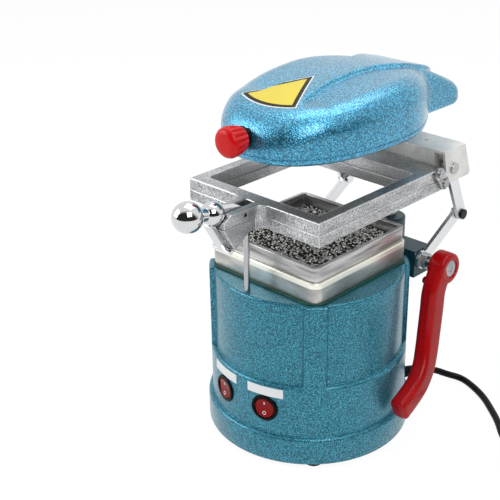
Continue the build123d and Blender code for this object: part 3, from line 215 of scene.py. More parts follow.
def moulded(name, tint, rough, grit, depth, coat=0.0, edge_radius=0.4, drift=0.12, shine=0.18):
    """A moulded, printed or sprayed surface: the eye sees one even colour and a faint orange peel.

    grit is the width and depth the depth of that peel in millimetres; a real mould grain is a few tenths of
    a millimetre, and is drawn at about a millimetre so that it shows.  drift is the share by which the
    colour wanders over about 25 mm, shine the specular level and coat the weight of a clear skin on top.
    """
    material, tree, shader, place = new_finish(name)
    fine = add(tree, "ShaderNodeTexNoise", {"Vector": place, "Scale": 1 / (grit * MM), "Detail": 2.0})
    wide = add(tree, "ShaderNodeTexNoise", {"Vector": place, "Scale": 1 / (25 * MM), "Detail": 2.0})
    base = colour(tint)
    skin_tint = add(tree, "ShaderNodeValToRGB", {"Fac": wide.outputs["Fac"]},
                    [(0.35, tinted(base, 1 - drift)), (0.65, base)])
    tree.links.new(skin_tint.outputs["Color"], shader.inputs["Base Color"])
    spread = add(tree, "ShaderNodeMapRange",
                 {"Value": wide.outputs["Fac"], "From Min": 0.3, "From Max": 0.7,
                  "To Min": rough * 0.85, "To Max": rough * 1.2})
    tree.links.new(spread.outputs["Result"], shader.inputs["Roughness"])
    edge = add(tree, "ShaderNodeBevel", {"Radius": edge_radius * MM}, samples=4)
    relief = add(tree, "ShaderNodeBump",
                 {"Height": fine.outputs["Fac"], "Strength": 0.5, "Distance": depth * MM,
                  "Normal": edge.outputs["Normal"]})
    tree.links.new(relief.outputs["Normal"], shader.inputs["Normal"])
    shader.inputs["Specular IOR Level"].default_value = shine
    shader.inputs["Coat Weight"].default_value = coat
    shader.inputs["Coat Roughness"].default_value = 0.08
    return material


# Fine teal hammertone on the drum: small bright glints over deep teal pits a millimetre across.
teal_hammertone = hammertone("teal_hammertone_enamel", "338da5", cell=1.05, contrast=0.58, depth=0.12,
                             flake=0.5, gloss=0.2)
# The bracket behind is drawn in a deeper, duller teal than the drum.
deep_teal_hammertone = hammertone("deep_teal_hammertone_enamel", "124654", cell=1.3, contrast=0.4,
                                  depth=0.08, flake=0.2, sheen=0.42)
# The deck's pad is drawn in a darker, flatter green-teal than the drum, almost without glints: painted
# shade from the block above.
deck_shade_enamel = hammertone("green_teal_deck_enamel_with_painted_shade", "064a40", cell=1.4, contrast=0.35, depth=0.05,
                         flake=0.05, sheen=0.5, gloss=0.0)
# The head's enamel was sprayed thicker and glossier: wider dimples that sparkle over a pale blue.
sky_hammertone = hammertone("sky_blue_hammertone_enamel", "50abd2", cell=1.3, contrast=0.50, depth=0.24,
                            flake=0.75, sheen=0.20, gloss=0.45)
# Machined and lightly blasted aluminium: even pale grey, with level streaks, partly the cutter's and partly
# painted reflection.
satin_aluminium = metal("satin_machined_aluminium", "cbcbca", 0.30, grit=0.9, depth=0.012, variation=0.14,
                        lay=(1.0, 1.0, 8.0), band=(0.5, 0.5, 6.0), streak_and_reflection_swing=0.62, metallic=0.75, rub_and_highlight=0.6)
# The block's lower face keeps the saw's grey, and its top is painted pale cream: a painted highlight where
# the top land faces the light.
sawn_block = metal("sawn_aluminium_with_painted_top_highlight", "c9c8c4", 0.32, grit=0.9, depth=0.012,
                   variation=0.16, lay=(1.0, 1.0, 8.0), band=(0.5, 0.5, 1.5), streak_and_reflection_swing=0.50, metallic=0.7,
                   rub_and_highlight=0.5, crest=(165.8, 166.6, "fbf9ec"))
# Sand-cast frames with milled faces: a dull salt-and-pepper grain between bright edges, partly wear and
# partly painted highlight.
cast_aluminium = metal("milled_cast_aluminium", "babcbe", 0.32, grit=1.1, depth=0.05, variation=0.60,
                       band=(0.6, 0.6, 3.0), streak_and_reflection_swing=0.30, rub_and_highlight=1.0, edge_radius=1.0)
# Rolled plate, ground in one direction and left bright: a pale sheen that hardly changes over the plate.
ground_plate = metal("ground_aluminium_plate", "e4e4e0", 0.30, grit=0.9, depth=0.01, variation=0.12,
                     lay=(1.0, 6.0, 1.0), streak_and_reflection_swing=0.20, metallic=0.4, rub_and_highlight=0.8)
# Zinc plate on screws, spacers and covers: a cool grey clouded partly by painted reflection, with edges
# brightened partly where tools have rubbed them and partly as painted highlight.
zinc_steel = metal("zinc_plated_steel", "b4b6b9", 0.28, grit=1.0, depth=0.008, variation=0.12, streak_and_reflection_swing=0.25,
                   rub_and_highlight=0.5)
# Ground rod for the column, pins and shafts: one clean bright line of light down its length.
ground_steel = metal("ground_bright_steel", "b4b6b9", 0.20, grit=0.5, depth=0.004, variation=0.12,
                     lay=(1.0, 1.0, 0.1))
# Brushed strip for the arms and the reflector: pale, with a highlight drawn out across the marks.
brushed_strip = metal("brushed_steel_strip", "dfe1e3", 0.30, grit=0.5, depth=0.006, variation=0.08,
                      lay=(1.0, 3.0, 0.6))
# Oil-blackened nuts and pins, and the coil's own oxide: near black, with a low sheen of metal.
black_oxide = metal("black_oxide_steel", "1c1c1e", 0.38, grit=1.0, depth=0.01, variation=0.2, metallic=0.7)
# The drawn cans of the motor and the fan: a plain mid grey with an oily sheen.
motor_steel = metal("plain_motor_steel", "5b5e63", 0.40, grit=1.2, depth=0.01, variation=0.1)
# Sintered bronze bushes: a dull warm brown with an open grain.
bearing_bronze = metal("sintered_bronze", "b58a4c", 0.38, grit=0.5, depth=0.01, variation=0.12)
# Polished chrome plate: a mirror in hard darks and whites, with only the faintest cloud of its own.
mirror_chrome = metal("mirror_chrome_plate", "d2d4d6", 0.03, grit=3.0, depth=0.002, variation=0.02)
# Blasting shot heated many times: bright rubbed balls among ones still dark with oxide; the light and dark
# patches on the bright ones are painted reflection.
worn_shot = metal("worn_steel_shot", "fbf5e8", 0.24, grit=2.4, depth=0.02, variation=0.30,
                  band=(11.0, 11.0, 11.0), streak_and_reflection_swing=0.70)
oxide_shot = metal("oxidised_steel_shot", "2c2720", 0.45, grit=2.4, depth=0.02, variation=0.5, metallic=0.6)
# A matt near-black bed between the balls: painted shade in their gaps, which makes each ball stand out.
shot_gap_shade = moulded("painted_shade_shot_bed", "0d0b09", 0.85, grit=0.8, depth=0.10)
# Gloss enamel sprayed on the cast handle: deep red, small sharp highlights and a slight orange peel.
red_enamel = moulded("gloss_red_enamel", "ab060c", 0.24, grit=1.6, depth=0.03, coat=0.05, edge_radius=1.0)
# Moulded thermoset knob: a brighter, warmer red with a clear highlight on each flute.
red_plastic = moulded("moulded_red_plastic", "cc0b10", 0.26, grit=1.2, depth=0.015, coat=0.1,
                      edge_radius=0.5)
# Tinted translucent rockers: dark wine red with their lamps off, and as smooth as glass.
rocker_plastic = moulded("dark_red_rocker_plastic", "8a060b", 0.14, grit=1.2, depth=0.01, coat=0.05,
                         edge_radius=0.5, shine=0.12)
# Moulded nylon: black, with a soft broad highlight over a spark-eroded grain.
black_plastic = moulded("moulded_black_plastic", "0c0c0d", 0.30, grit=0.8, depth=0.01, shine=0.07)
# Moulded rubber: matt black that only greys a little towards the light.
black_rubber = moulded("moulded_black_rubber", "0e0e0e", 0.62, grit=0.9, depth=0.02, shine=0.1)
# Extruded cord jacket: black, with a thin soft line of light along its top.
cord_rubber = moulded("extruded_cord_jacket", "090909", 0.42, grit=0.5, depth=0.01, shine=0.12)
# Unglazed fired ceramic: chalky off-white with no highlight.
heater_ceramic = moulded("unglazed_heater_ceramic", "dcd8ca", 0.75, grit=0.9, depth=0.03)
# Printed polyester film: flat, even colours with a thin sheen, crisper than the enamel round them.
label_film = moulded("white_printed_film", "e6e8e9", 0.40, grit=2.0, depth=0.004, edge_radius=0.1,
                     drift=0.03)
yellow_film = moulded("yellow_printed_film", "e3cf4e", 0.35, grit=2.0, depth=0.004, edge_radius=0.1,
                      drift=0.04)
black_ink = moulded("black_printed_film", "18190f", 0.40, grit=2.0, depth=0.004, edge_radius=0.1,
                    drift=0.03)

FINISHES = {
    "teal_casting": teal_hammertone, "blue_casting": sky_hammertone, "satin_aluminium": satin_aluminium,
    "cast_aluminium": cast_aluminium, "zinc_steel": zinc_steel, "ground_steel": ground_steel,
    "bright_steel": brushed_strip, "black_steel": black_oxide, "motor_steel": motor_steel,
    "steel_shot": worn_shot, "bronze": bearing_bronze, "chrome_plate": mirror_chrome,
    "red_enamel": red_enamel, "red_plastic": red_plastic, "black_plastic": black_plastic,
    "black_rubber": black_rubber, "cord_rubber": cord_rubber, "white_ceramic": heater_ceramic,
    "white_label": label_film,
}
# A few nodes differ from the rest of their slot.
OWN_FINISHES = {
    "rear_bracket": deep_teal_hammertone, "carriage_cover": ground_plate, "carriage_block": ground_plate,
    "catch_pin": black_oxide, "vacuum_block": sawn_block, "switch_rocker_right": rocker_plastic,
    "switch_rocker_left": rocker_plastic,
}
for row in frame["record"]["subparts"]:
    mesh = nodes[row["node"]].data
    mesh.materials.clear()
    mesh.materials.append(OWN_FINISHES.get(row["node"], FINISHES[row["material_slot"]]))


# ------------------------------------------------------------------ grid surfaces
def grid_faces(rows, columns, wrap_rows, wrap_columns):
    """Quads between neighbouring rows and columns of a grid whose points are numbered row by row."""
    down = np.arange(rows if wrap_rows else rows - 1)
    along = np.arange(columns if wrap_columns else columns - 1)
    i, j = np.meshgrid(down, along, indexing="ij")
    k, m = (i + 1) % rows, (j + 1) % columns
    return np.stack([i * columns + j, i * columns + m, k * columns + m, k * columns + j], -1).reshape(-1, 4)


def piece(name, parts, body, finish, sharp=35.0):
    """One object from (points in mm, faces) pairs, with smooth faces that break above the sharp angle.

    Points within a thousandth of a millimetre are made one, which closes seams and poles.
    """
    points, faces, start = [], [], 0
    for spots, quads in parts:
        spots = np.asarray(spots, float).reshape(-1, 3)
        points.append(spots)
        faces += (np.asarray(quads) + start).tolist() if isinstance(quads, np.ndarray) else [
            [corner + start for corner in face] for face in quads]
        start += len(spots)
    mesh = bpy.data.meshes.new(name)
    mesh.from_pydata((np.concatenate(points) * MM).tolist(), [], faces)
    loose = bmesh.new()
    loose.from_mesh(mesh)
    bmesh.ops.remove_doubles(loose, verts=loose.verts, dist=0.001 * MM)
    loose.to_mesh(mesh)
    loose.free()
    mesh.shade_smooth()
    mesh.set_sharp_from_angle(angle=math.radians(sharp))
    mesh.materials.append(finish)
    result = bpy.data.objects.new(name, mesh)
    bpy.context.scene.collection.objects.link(result)
    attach(result, body)
    return result


def skin(points, wrap_columns=True, cap_first=False, cap_last=False, wrap_rows=False):
    """A grid's points and faces; a cap closes the first or last row with one face."""
    rows, columns = points.shape[:2]
    faces = grid_faces(rows, columns, wrap_rows, wrap_columns).tolist()
    if cap_first:
        faces.append(list(range(columns))[::-1])
    if cap_last:
        faces.append([(rows - 1) * columns + j for j in range(columns)])
    return points.reshape(-1, 3), faces


def turned(profile, origin, axis, count):
    """A lathe form: each (radius, along) pair is a circle about the axis, at origin + along * axis."""
    axis = np.asarray(axis, float) / np.linalg.norm(axis)
    helper = np.array([0.0, 0.0, 1.0]) if abs(axis[2]) < 0.9 else np.array([1.0, 0.0, 0.0])
    first = np.cross(helper, axis)
    first /= np.linalg.norm(first)
    second = np.cross(axis, first)
    turn = np.radians(360.0 * np.arange(count) / count)
    ring = np.cos(turn)[:, None] * first + np.sin(turn)[:, None] * second
    profile = np.asarray(profile, float)
    return (np.asarray(origin, float) + profile[:, 0, None, None] * ring
            + profile[:, 1, None, None] * axis)


def rounded_square(half_x, half_y, radius, count):
    """Points anticlockwise round a rectangle with round corners, the same number on each quarter."""
    quarter = count // 4
    turn = np.radians(np.linspace(0, 90, quarter))
    corners = []
    for number, (sx, sy) in enumerate(((1, 1), (-1, 1), (-1, -1), (1, -1))):
        angle = turn + math.radians(90 * number)
        corners.append(np.stack([sx * (half_x - radius) + radius * np.cos(angle),
                                 sy * (half_y - radius) + radius * np.sin(angle)], -1))
    return np.concatenate(corners)


def stacked(outlines):
    """Rows of a grid from (outline, z) pairs."""
    return np.stack([np.column_stack([outline, np.full(len(outline), z)]) for outline, z in outlines])


def step(value, low, high):
    """A smooth rise from 0 at low to 1 at high: 3 t squared - 2 t cubed."""
    t = np.clip((value - low) / (high - low), 0, 1)
    return t * t * (3 - 2 * t)


# ------------------------------------------------------------------ drum
# The switches' places are angles about the drum's axis, in degrees from +X.
PANEL_RADIUS, BAND_RADIUS, FLANGE_RADIUS = 82.0, 86.0, 89.7
BRACKET_FACE = 69.0
SWITCH_HEIGHT = 54.0
SWITCH_ANGLES = {"right": -73.5, "left": -104.2}


def drum():
    """The drum's wall and deck: radius(angle, height), with ribs at the four diagonals.

    The radius is the panels' radius, raised to the band's radius by a smooth step at each rib and below the
    band's top, and to the flange's radius near the foot.  Above the pocket's floor y is held in front of
    the bracket's face.  Behind each switch the radius is 10 mm less, by a smooth step under the bezel.
    """
    # One column a degree, and more of them at the ribs' edges, the pocket's corners and the switches.
    base = np.linspace(0, 360, 361)[:-1]
    edges = [45 + 90 * k + s * 6.68 + d
             for k in range(4) for s in (-1, 1) for d in np.linspace(-1.4, 1.4, 15)]
    corner = math.degrees(math.asin(BRACKET_FACE / PANEL_RADIUS))
    spots = [360 + spot + turn for spot in SWITCH_ANGLES.values() for turn in np.linspace(-8, 8, 33)]
    angle = np.radians(np.unique(np.round(np.concatenate([base, edges, [corner, 180 - corner], spots]), 3)))
    rib = np.radians(np.abs(np.degrees(angle) % 90 - 45)) * BAND_RADIUS
    panel = PANEL_RADIUS + (BAND_RADIUS - PANEL_RADIUS) * (1 - step(rib, 9.0, 10.9))
    # The flange and its 3 mm shoulder, then the band, as (radius, height).
    rows = [(86.6, 5.0), (88.9, 5.0), (89.5, 5.4), (FLANGE_RADIUS, 6.0), (FLANGE_RADIUS, 26.6)]
    rows += [(86.7 + 3 * math.cos(a), 27 + 3 * math.sin(a)) for a in np.radians([15, 35, 55, 75, 90])]
    rows += [(86.25, 30.05), (86.05, 30.3), (BAND_RADIUS, 31.0)]
    rows += [(BAND_RADIUS, z) for z in np.linspace(42, 66, 33)] + [(BAND_RADIUS, 74.6)]
    shapes = [np.full(len(angle), r) for r, _ in rows]
    heights = [z for _, z in rows]
    # The band's top rounds in to the panels between the ribs, then the panels rise to the pocket's floor.
    for turn in np.radians([10, 30, 50, 70, 90]):
        shapes.append(np.where(panel > 83 + 3 * np.cos(turn), panel, 83 + 3 * np.cos(turn)))
        heights.append(75 + 3 * math.sin(turn))
    for drop, z in ((0.35, 78.05), (0.08, 78.3), (0.0, 79.0), (0.0, 100.0), (0.0, 131.0)):
        shapes.append(np.minimum(panel + drop, BAND_RADIUS))
        heights.append(z)
    pocket_rows = len(shapes)
    for z in (131.02, 140.0, 150.2):
        shapes.append(panel)
        heights.append(z)
    # The rim's 2 mm round, then the flat deck in to the axis.
    for turn in np.radians([15, 35, 55, 75, 90]):
        shapes.append(panel - 2 + 2 * np.cos(turn))
        heights.append(150.3 + 2 * math.sin(turn))
    for radius in (78.5, 74.0, 60.0, 30.0, 0.0):
        shapes.append(np.full(len(angle), radius))
        heights.append(152.3)
    radius = np.array(shapes)
    # The recesses behind the switches leave their rockers room to tilt.
    for spot in SWITCH_ANGLES.values():
        turn = (np.degrees(angle) - spot + 180) % 360 - 180
        away = np.hypot(np.radians(turn)[None] * BAND_RADIUS, np.array(heights)[:, None] - SWITCH_HEIGHT)
        radius = radius - 10 * (1 - step(away, 10.4, 11.4))
    x, y = radius * np.cos(angle), radius * np.sin(angle)
    z = np.repeat(np.array(heights)[:, None], len(angle), 1)
    y[pocket_rows:] = np.minimum(y[pocket_rows:], BRACKET_FACE)
    return np.stack([x, y, z], -1)


def deck_pad():
    """The raised square on the deck: a rounded square kept inside the panels' circle, with a round edge."""
    outline = rounded_square(62.5, 62.5, 13, 240)
    reach = np.hypot(outline[:, 0], outline[:, 1])
    rows = []
    for inset, z in ((0, 151.4), (0, 153.3), (0.12, 153.65), (0.4, 153.92), (0.8, 154.0), (20, 154.0)):
        size = np.minimum(reach - inset, 81.6 - inset)
        rows.append((outline * (size / reach)[:, None], z))
    return stacked(rows)


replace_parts(piece("drum_body", [skin(drum(), cap_first=True)], "base", teal_hammertone, 60),
            "base_casting")
piece("deck_pad", [skin(deck_pad(), cap_first=True, cap_last=True)], "base", deck_shade_enamel)


# ------------------------------------------------------------------ heater head
# The crown line along the head, as a polynomial through heights at named places.
CROWN = np.polyfit([-90, -60, -20, 40, 90, 125, 150, 175],
                   [286, 300, 309.5, 313.5, 311.5, 302, 290, 276], 5)


def head_outline(count):
    """Half the head's outline from the brow to the neck's end, as x and y.

    The front is |x / 68| ** 2.4 + |(y - 38) / 115| ** 2.4 = 1, the back half an ellipse 75 long, and the
    neck 38 each way with 17 mm corners; a soft bulge rounds the corner between the last two.
    """
    y = 44 - 121 * np.cos(np.linspace(0, math.pi, count))
    front = 68 * np.clip(1 - np.abs((y - 38) / 115) ** 2.4, 0, 1) ** (1 / 2.4)
    rear = 68 * np.sqrt(np.clip(1 - ((y - 38) / 75) ** 2, 0, 1))
    neck = np.where(y < 148, 38.0, 21 + np.sqrt(np.clip(17.0 ** 2 - (y - 148) ** 2, 0, None)))
    wide = np.where(y < 38, front, rear)
    soft = 5.0 * np.exp(-((wide - neck) / 11.0) ** 2) * step(y, 60, 84) * (1 - step(y, 106, 120))
    x = np.where(y < 60, front, np.maximum(wide, neck) + soft)
    x = np.where((y > 38) & (y <= 60), rear, x)
    last = np.linspace(21, 0, 9)[1:]
    return np.append(x, last), np.append(y, np.full(8, 165.0))


def spine_half_width(y):
    """Half the raised spine's width: a fan at the brow, a waist, a swell, and a round end on the neck."""
    return np.interp(y, [-90, -44, -32, -13, 9, 38, 62, 78, 90, 110, 126, 136, 142, 146, 147, 150],
                     [40, 26, 21, 17, 14.2, 13.8, 16.5, 21, 25, 26, 24, 19.5, 14, 7, 0, -6])


def head_height(px, py, distance):
    """The head's height at a point that is a given distance d in from the outline.

    It is crown(y) - recess - (R - sqrt(R squared - (R - d) squared)): the wings lie 3 mm below the spine,
    5 mm on the neck, and the shoulder's radius R goes from 20 mm to 9 mm on the neck.
    """
    shoulder = 20.0 - 11.0 * step(py, 100, 140)
    fall = shoulder - np.sqrt(shoulder ** 2 - (shoulder - np.clip(distance, 0, shoulder)) ** 2)
    spine = step(spine_half_width(py) - np.abs(px), -1.3, 1.3)
    recess = (3.0 + 2.0 * step(py, 112, 140)) * (1 - spine) * step(py, -46, -20)
    return np.polyval(CROWN, py) - recess - fall


def outline_distance(px, py, edge):
    """The least distance from each point to the outline's own points, worked out a block at a time."""
    flat = np.stack([px.ravel(), py.ravel()], -1)
    return np.concatenate([np.hypot(chunk[:, None, 0] - edge[None, :, 0],
                                    chunk[:, None, 1] - edge[None, :, 1]).min(1)
                           for chunk in np.array_split(flat, 20)]).reshape(px.shape)


def head():
    """The head: a grid from the ridge out to the outline, down the wall, round the lip, into the hollow.

    Each row is the outline drawn in towards the ridge by a share; the wall's foot turns in by a quarter
    circle of 4 mm, under a fine groove, and the hollow is an ellipse 57 by 74 with a flat roof.
    """
    half_x, half_y = head_outline(170)
    x = np.concatenate([half_x, -half_x[-2:0:-1]])
    y = np.concatenate([half_y, half_y[-2:0:-1]])
    edge = np.stack([x, y], -1)
    ridge_y = np.clip(y, -28, 128)
    inward = np.concatenate([np.linspace(0, 0.55, 34) ** 1.5, np.linspace(0.42, 1, 44)[1:]])
    px = x[None] * (1 - inward[:, None])
    py = y[None] * (1 - inward[:, None]) + ridge_y[None] * inward[:, None]
    distance = outline_distance(px, py, edge)
    distance[0] = 0
    height = np.maximum(head_height(px, py, distance), 270.0)
    top = np.stack([px, py, height], -1)[::-1]
    away = edge - np.array([0.0, 40.0])
    away /= np.linalg.norm(away, axis=1)[:, None]
    groove = 0.7 * step(height[0], 271.2, 273)
    sides = [np.column_stack([edge - away * (inset * groove)[:, None], np.minimum(z, height[0] - less)])
             for inset, z, less in ((0, 272.4, 0.05), (0, 271.8, 0.1), (1, 271.4, 0.15), (1, 270.7, 0.2),
                                    (0, 270.3, 0.25), (0, 269.2, 0.8))]
    sides += [np.column_stack([edge - away * (4 - 4 * math.cos(turn)),
                               np.full(len(edge), 269 - 4 * math.sin(turn))])
              for turn in np.radians([0, 20, 40, 60, 78, 90])]
    turn = np.arctan2(y - 10, x)
    hollow = [np.stack([57 * scale * np.cos(turn), 10 + 74 * scale * np.sin(turn),
                        np.full(len(turn), z)], -1)
              for scale, z in ((1.01, 265.0), (1.0, 265.6), (0.99, 283.0), (0.6, 283.6), (0.0, 283.6))]
    return np.concatenate([top, np.array(sides), np.array(hollow)])[::-1]


def fan_plate(inset, lift):
    """A thin fan laid on the head: rays from a point by the waist to an arc 62 mm in front of it.

    A ray's point is apex + s R (sin a, -cos a) for s from 0 to 1 and a from 28.2 to -28.2 degrees; all
    edges are drawn in by inset.  The fan stands lift above the enamel and its underside 0.3 mm below it,
    and behind the brow it bridges the step beside the spine.
    """
    apex_y, reach, half = 9.5, 62.0, math.radians(28.2)
    along = np.linspace(max(inset, 0.05) / math.sin(half), reach - inset, 40)[:, None]
    angle = (half - np.arcsin(inset / along)) * np.linspace(1, -1, 41)[None]
    px = -4.3 + along * np.sin(angle)
    py = apex_y - along * np.cos(angle)
    half_x, half_y = head_outline(170)
    edge = np.stack([np.concatenate([half_x, -half_x]), np.concatenate([half_y, half_y])], -1)
    z = head_height(px, py, outline_distance(px, py, edge)) + lift
    crest = np.polyval(CROWN, py) + lift
    z = np.where(py > -46, np.maximum(z, crest - 3.2 * step(np.abs(px), 10, 30)), z)
    upper = np.stack([px, py, z], -1)
    lower = upper - np.array([0, 0, lift + 0.3])
    rims = [np.concatenate([face[0], face[1:, -1], face[-1, -2::-1], face[-2:0:-1, 0]])
            for face in (lower, upper)]
    return [skin(upper, wrap_columns=False), skin(lower[::-1], wrap_columns=False), skin(np.stack(rims))]


def round_knob():
    """The knob: radius(angle, along) with sixteen finger flutes that run out before its domed front.

    The radius grows from 10.0 to 12.4 and rounds over; a flute takes 1.3 mm where cos(16 angle) is near -1.
    """
    angle = np.radians(np.arange(0, 360, 2.25))
    rows = [(0.0, 0.0, 0), (7.5, 0.0, 0), (9.2, 0.1, 0), (9.9, 0.5, 0.4), (10.3, 1.2, 1)]
    rows += [(10.3 + 2.1 * math.sin(s * math.pi / 2), 1.2 + 10.8 * s, 1) for s in np.linspace(0, 1, 12)[1:]]
    rows += [(12.4, 13.2, 0.75), (12.2, 14.3, 0.35), (11.8, 15.3, 0.1), (11.2, 16.2, 0), (10.3, 17.1, 0),
             (9.0, 17.8, 0), (7.4, 18.15, 0), (4.0, 18.3, 0), (0.0, 18.35, 0)]
    shape = np.array(rows)
    flute = 1.3 * np.clip(0.5 - 0.5 * np.cos(16 * angle), 0, 1) ** 1.3
    radius = shape[:, 0, None] - shape[:, 2, None] * flute[None]
    along = np.repeat(shape[:, 1, None], len(angle), 1)
    return np.stack([radius * np.cos(angle), -80 - along, 284 + radius * np.sin(angle)], -1)


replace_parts(piece("heater_head", [skin(head())], "heater", sky_hammertone, 50),
            "heater_shell")
boss_profile = [(7.2, 262.0), (26, 262.0), (26.8, 262.3), (27, 263), (27, 266), (7.2, 266)]
boss = turned(boss_profile, (0, 113, 0), (0, 0, 1), 96)
piece("neck_boss", [skin(boss, wrap_rows=True)], "heater", sky_hammertone)
piece("head_panel_edge", fan_plate(0.0, 0.25), "heater", label_film)
piece("head_panel_border", fan_plate(1.2, 0.42), "heater", black_ink)
piece("head_panel_field", fan_plate(4.3, 0.60), "heater", yellow_film)
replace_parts(piece("fluted_knob", [skin(round_knob())], "heater", red_plastic, 50),
            "heater_knob")


# ------------------------------------------------------------------ lever handle
def handle_path(count):
    """The limb's centre line: a smooth curve through the named points, by Catmull and Rom's rule.

    Between two points it is a cubic whose end slopes are half the chord between the points' neighbours.
    """
    spots = np.array([(85.2, 79.0, 158.0), (85.2, 73.0, 147.0), (85.5, 64.3, 130.0), (86.2, 61.5, 112.2),
                      (87.6, 57.5, 93.0), (90.2, 51.7, 76.5), (93.0, 44.5, 64.4), (95.2, 34.2, 54.5),
                      (96.4, 21.3, 47.5), (97.4, 4.4, 40.6), (98.2, -12.0, 34.0)])
    place = np.linspace(0, len(spots) - 3, count)
    k = np.minimum(place.astype(int), len(spots) - 4)
    t = (place - k)[:, None]
    a, b, c, d = spots[k], spots[k + 1], spots[k + 2], spots[k + 3]
    return 0.5 * (2 * b + (c - a) * t + (2 * a - 5 * b + 4 * c - d) * t ** 2
                  + (3 * b - a - 3 * c + d) * t ** 3)


def handle_limb():
    """The limb: a 15 by 21 mm section with 5.2 mm corners carried along the path, square to it.

    Over its last 3.5 mm the section shrinks by a quarter circle, so that the end is round.
    """
    line = handle_path(150)
    ahead = np.gradient(line, axis=0)
    ahead /= np.linalg.norm(ahead, axis=1)[:, None]
    side = np.array([1.0, 0, 0]) - ahead * ahead[:, :1]
    side /= np.linalg.norm(side, axis=1)[:, None]
    depth = np.cross(ahead, side)
    run = np.concatenate([[0], np.cumsum(np.linalg.norm(np.diff(line, axis=0), axis=1))])
    rounding = 3.5
    left = np.clip(run[-1] - run, 0, rounding)
    inset = rounding - np.sqrt(rounding ** 2 - (rounding - left) ** 2)
    section = rounded_square(7.5, 10.5, 5.2, 64)
    fullness = 1 - inset[:, None] / 8.5
    u, v = section[None, :, 0] * fullness, section[None, :, 1] * fullness
    return line[:, None] + u[..., None] * side[:, None] + v[..., None] * depth[:, None]


def cap_screw():
    """The screw cap: a dome, height(radius), sunk 1.1 mm along two crossed bars at its middle.

    The dome's rise above its rim is 1.3 (1 - (radius / 7.95) ** 2.2) mm.
    """
    size = 7.95
    radius = np.linspace(0.0, size, 44)[:, None]
    angle = np.radians(np.arange(0, 360, 3))[None]
    u, v = radius * np.cos(angle + 0.35), radius * np.sin(angle + 0.35)
    bar = np.minimum(np.abs(u), np.abs(v))
    cross = (1 - step(bar, 0.75, 1.15)) * (1 - step(radius, 3.9, 4.5))
    rise = 1.3 * (1 - (radius / size) ** 2.2) + 0.35 - 1.1 * cross
    top = np.stack([93 - 1.2 + rise, 77 + u, 147 + v], -1)
    rim = top[-1:] * np.array([0, 1, 1]) + np.array([91.3, 0, 0])
    return np.concatenate([top, rim])[::-1]


# The handle's three parts: the round head on its shaft, the limb, and the small stop inside the head.
disc_profile = [(4.0, 77.0), (11.0, 77.0), (12.6, 77.4), (13.6, 78.4), (14.0, 80.0), (14.0, 90.0),
                (13.6, 91.6), (12.6, 92.6), (11.0, 93.0), (8.5, 93.0), (8.1, 92.8), (8.0, 92.4),
                (8.0, 91.4)]
nub_profile = [(0.0, 74.6), (1.9, 74.7), (2.9, 75.3), (3.3, 76.2), (3.3, 80.5), (0.0, 80.5)]
handle_parts = [skin(turned(disc_profile, (0, 77, 147), (1, 0, 0), 96), wrap_rows=True),
                skin(handle_limb(), cap_first=True, cap_last=True),
                skin(turned(nub_profile, (0, 63.5, 136.5), (1, 0, 0), 32))]
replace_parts(piece("red_handle", handle_parts, "lever", red_enamel, 45), "lever_handle")
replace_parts(piece("cross_recess_cap", [skin(cap_screw(), cap_first=True)], "lever", zinc_steel,
                  30), "handle_screw")


# ------------------------------------------------------------------ switches
def on_rocker(angle, across, up, lift):
    """Points on a rocker's hollow face: radius = 117.3 - sqrt(30.9 squared - up squared) + lift."""
    radius = 117.3 - np.sqrt(30.9 ** 2 - up ** 2) + lift
    out = np.array([math.cos(math.radians(angle)), math.sin(math.radians(angle))])
    return np.stack([radius * out[0] - across * out[1], radius * out[1] + across * out[0],
                     SWITCH_HEIGHT + up], -1)


def rocker_marks(angle):
    """A bar above and a ring below, each a thin raised plate that follows the hollow face."""
    turn = np.radians(np.arange(0, 360, 12))
    loops = [(1.65, -0.1), (1.65, 0.14), (1.15, 0.14), (1.15, -0.1)]
    ring = np.stack([on_rocker(angle, r * np.cos(turn), -4.7 + r * np.sin(turn), lift)
                     for r, lift in loops])
    border = np.array([(-0.4, 3.2), (0.4, 3.2), (0.4, 6.0), (-0.4, 6.0)])
    rows = [on_rocker(angle, border[:, 0], border[:, 1], lift) for lift in (-0.1, 0.14)]
    return [skin(np.stack(rows), cap_first=True, cap_last=True), skin(ring, wrap_rows=True)]


for side, angle in SWITCH_ANGLES.items():
    piece("rocker_marks_" + side, rocker_marks(angle), "rocker_" + side, label_film)


# ------------------------------------------------------------------ shot
# Such shot is often finer; the balls are drawn 2.3 to 3 mm across so that each one shows.
SHOT_PITCH, SHOT_RADII, DARK_SHARE = 2.9, (1.15, 1.5), 0.32
HEAP_HALF, HEAP_FRONT, HEAP_FALL = 52.2, 177.6, 6.6


def heap_height(y):
    """The bed's height, which falls in a straight line from the front wall to the rear wall."""
    return HEAP_FRONT - HEAP_FALL * (y + HEAP_HALF) / (2 * HEAP_HALF)


def shot_places():
    """Centres of the balls that show: two layers on a hexagonal lattice, each pushed a little off it.

    The upper layer lies 2.6 mm above the bed, the lower 1.9 mm below that, both with small mounds.
    """
    rng = np.random.default_rng(7)
    layers = []
    for sink, shift in ((0.0, 0.0), (1.9, SHOT_PITCH / 2)):
        rows = np.arange(-HEAP_HALF, HEAP_HALF, SHOT_PITCH * 0.87)
        columns = np.arange(-HEAP_HALF, HEAP_HALF, SHOT_PITCH)
        x, y = np.meshgrid(columns, rows)
        x = x + (np.arange(len(rows))[:, None] % 2) * SHOT_PITCH / 2 + shift
        x = x + rng.uniform(-0.6, 0.6, x.shape)
        y = y + rng.uniform(-0.5, 0.5, y.shape)
        mound = 0.7 * np.sin(x / 11 + 1.2 * np.sin(y / 15)) * np.cos(y / 9)
        mound = mound + rng.uniform(-0.8, 0.8, x.shape)
        z = heap_height(y) + 2.6 + mound * 0.8 - sink
        layers.append(np.stack([x, y, np.maximum(z, 173.8)], -1).reshape(-1, 3))
    places = np.concatenate(layers)
    return places[(np.abs(places[:, 0]) < HEAP_HALF) & (np.abs(places[:, 1]) < HEAP_HALF)]


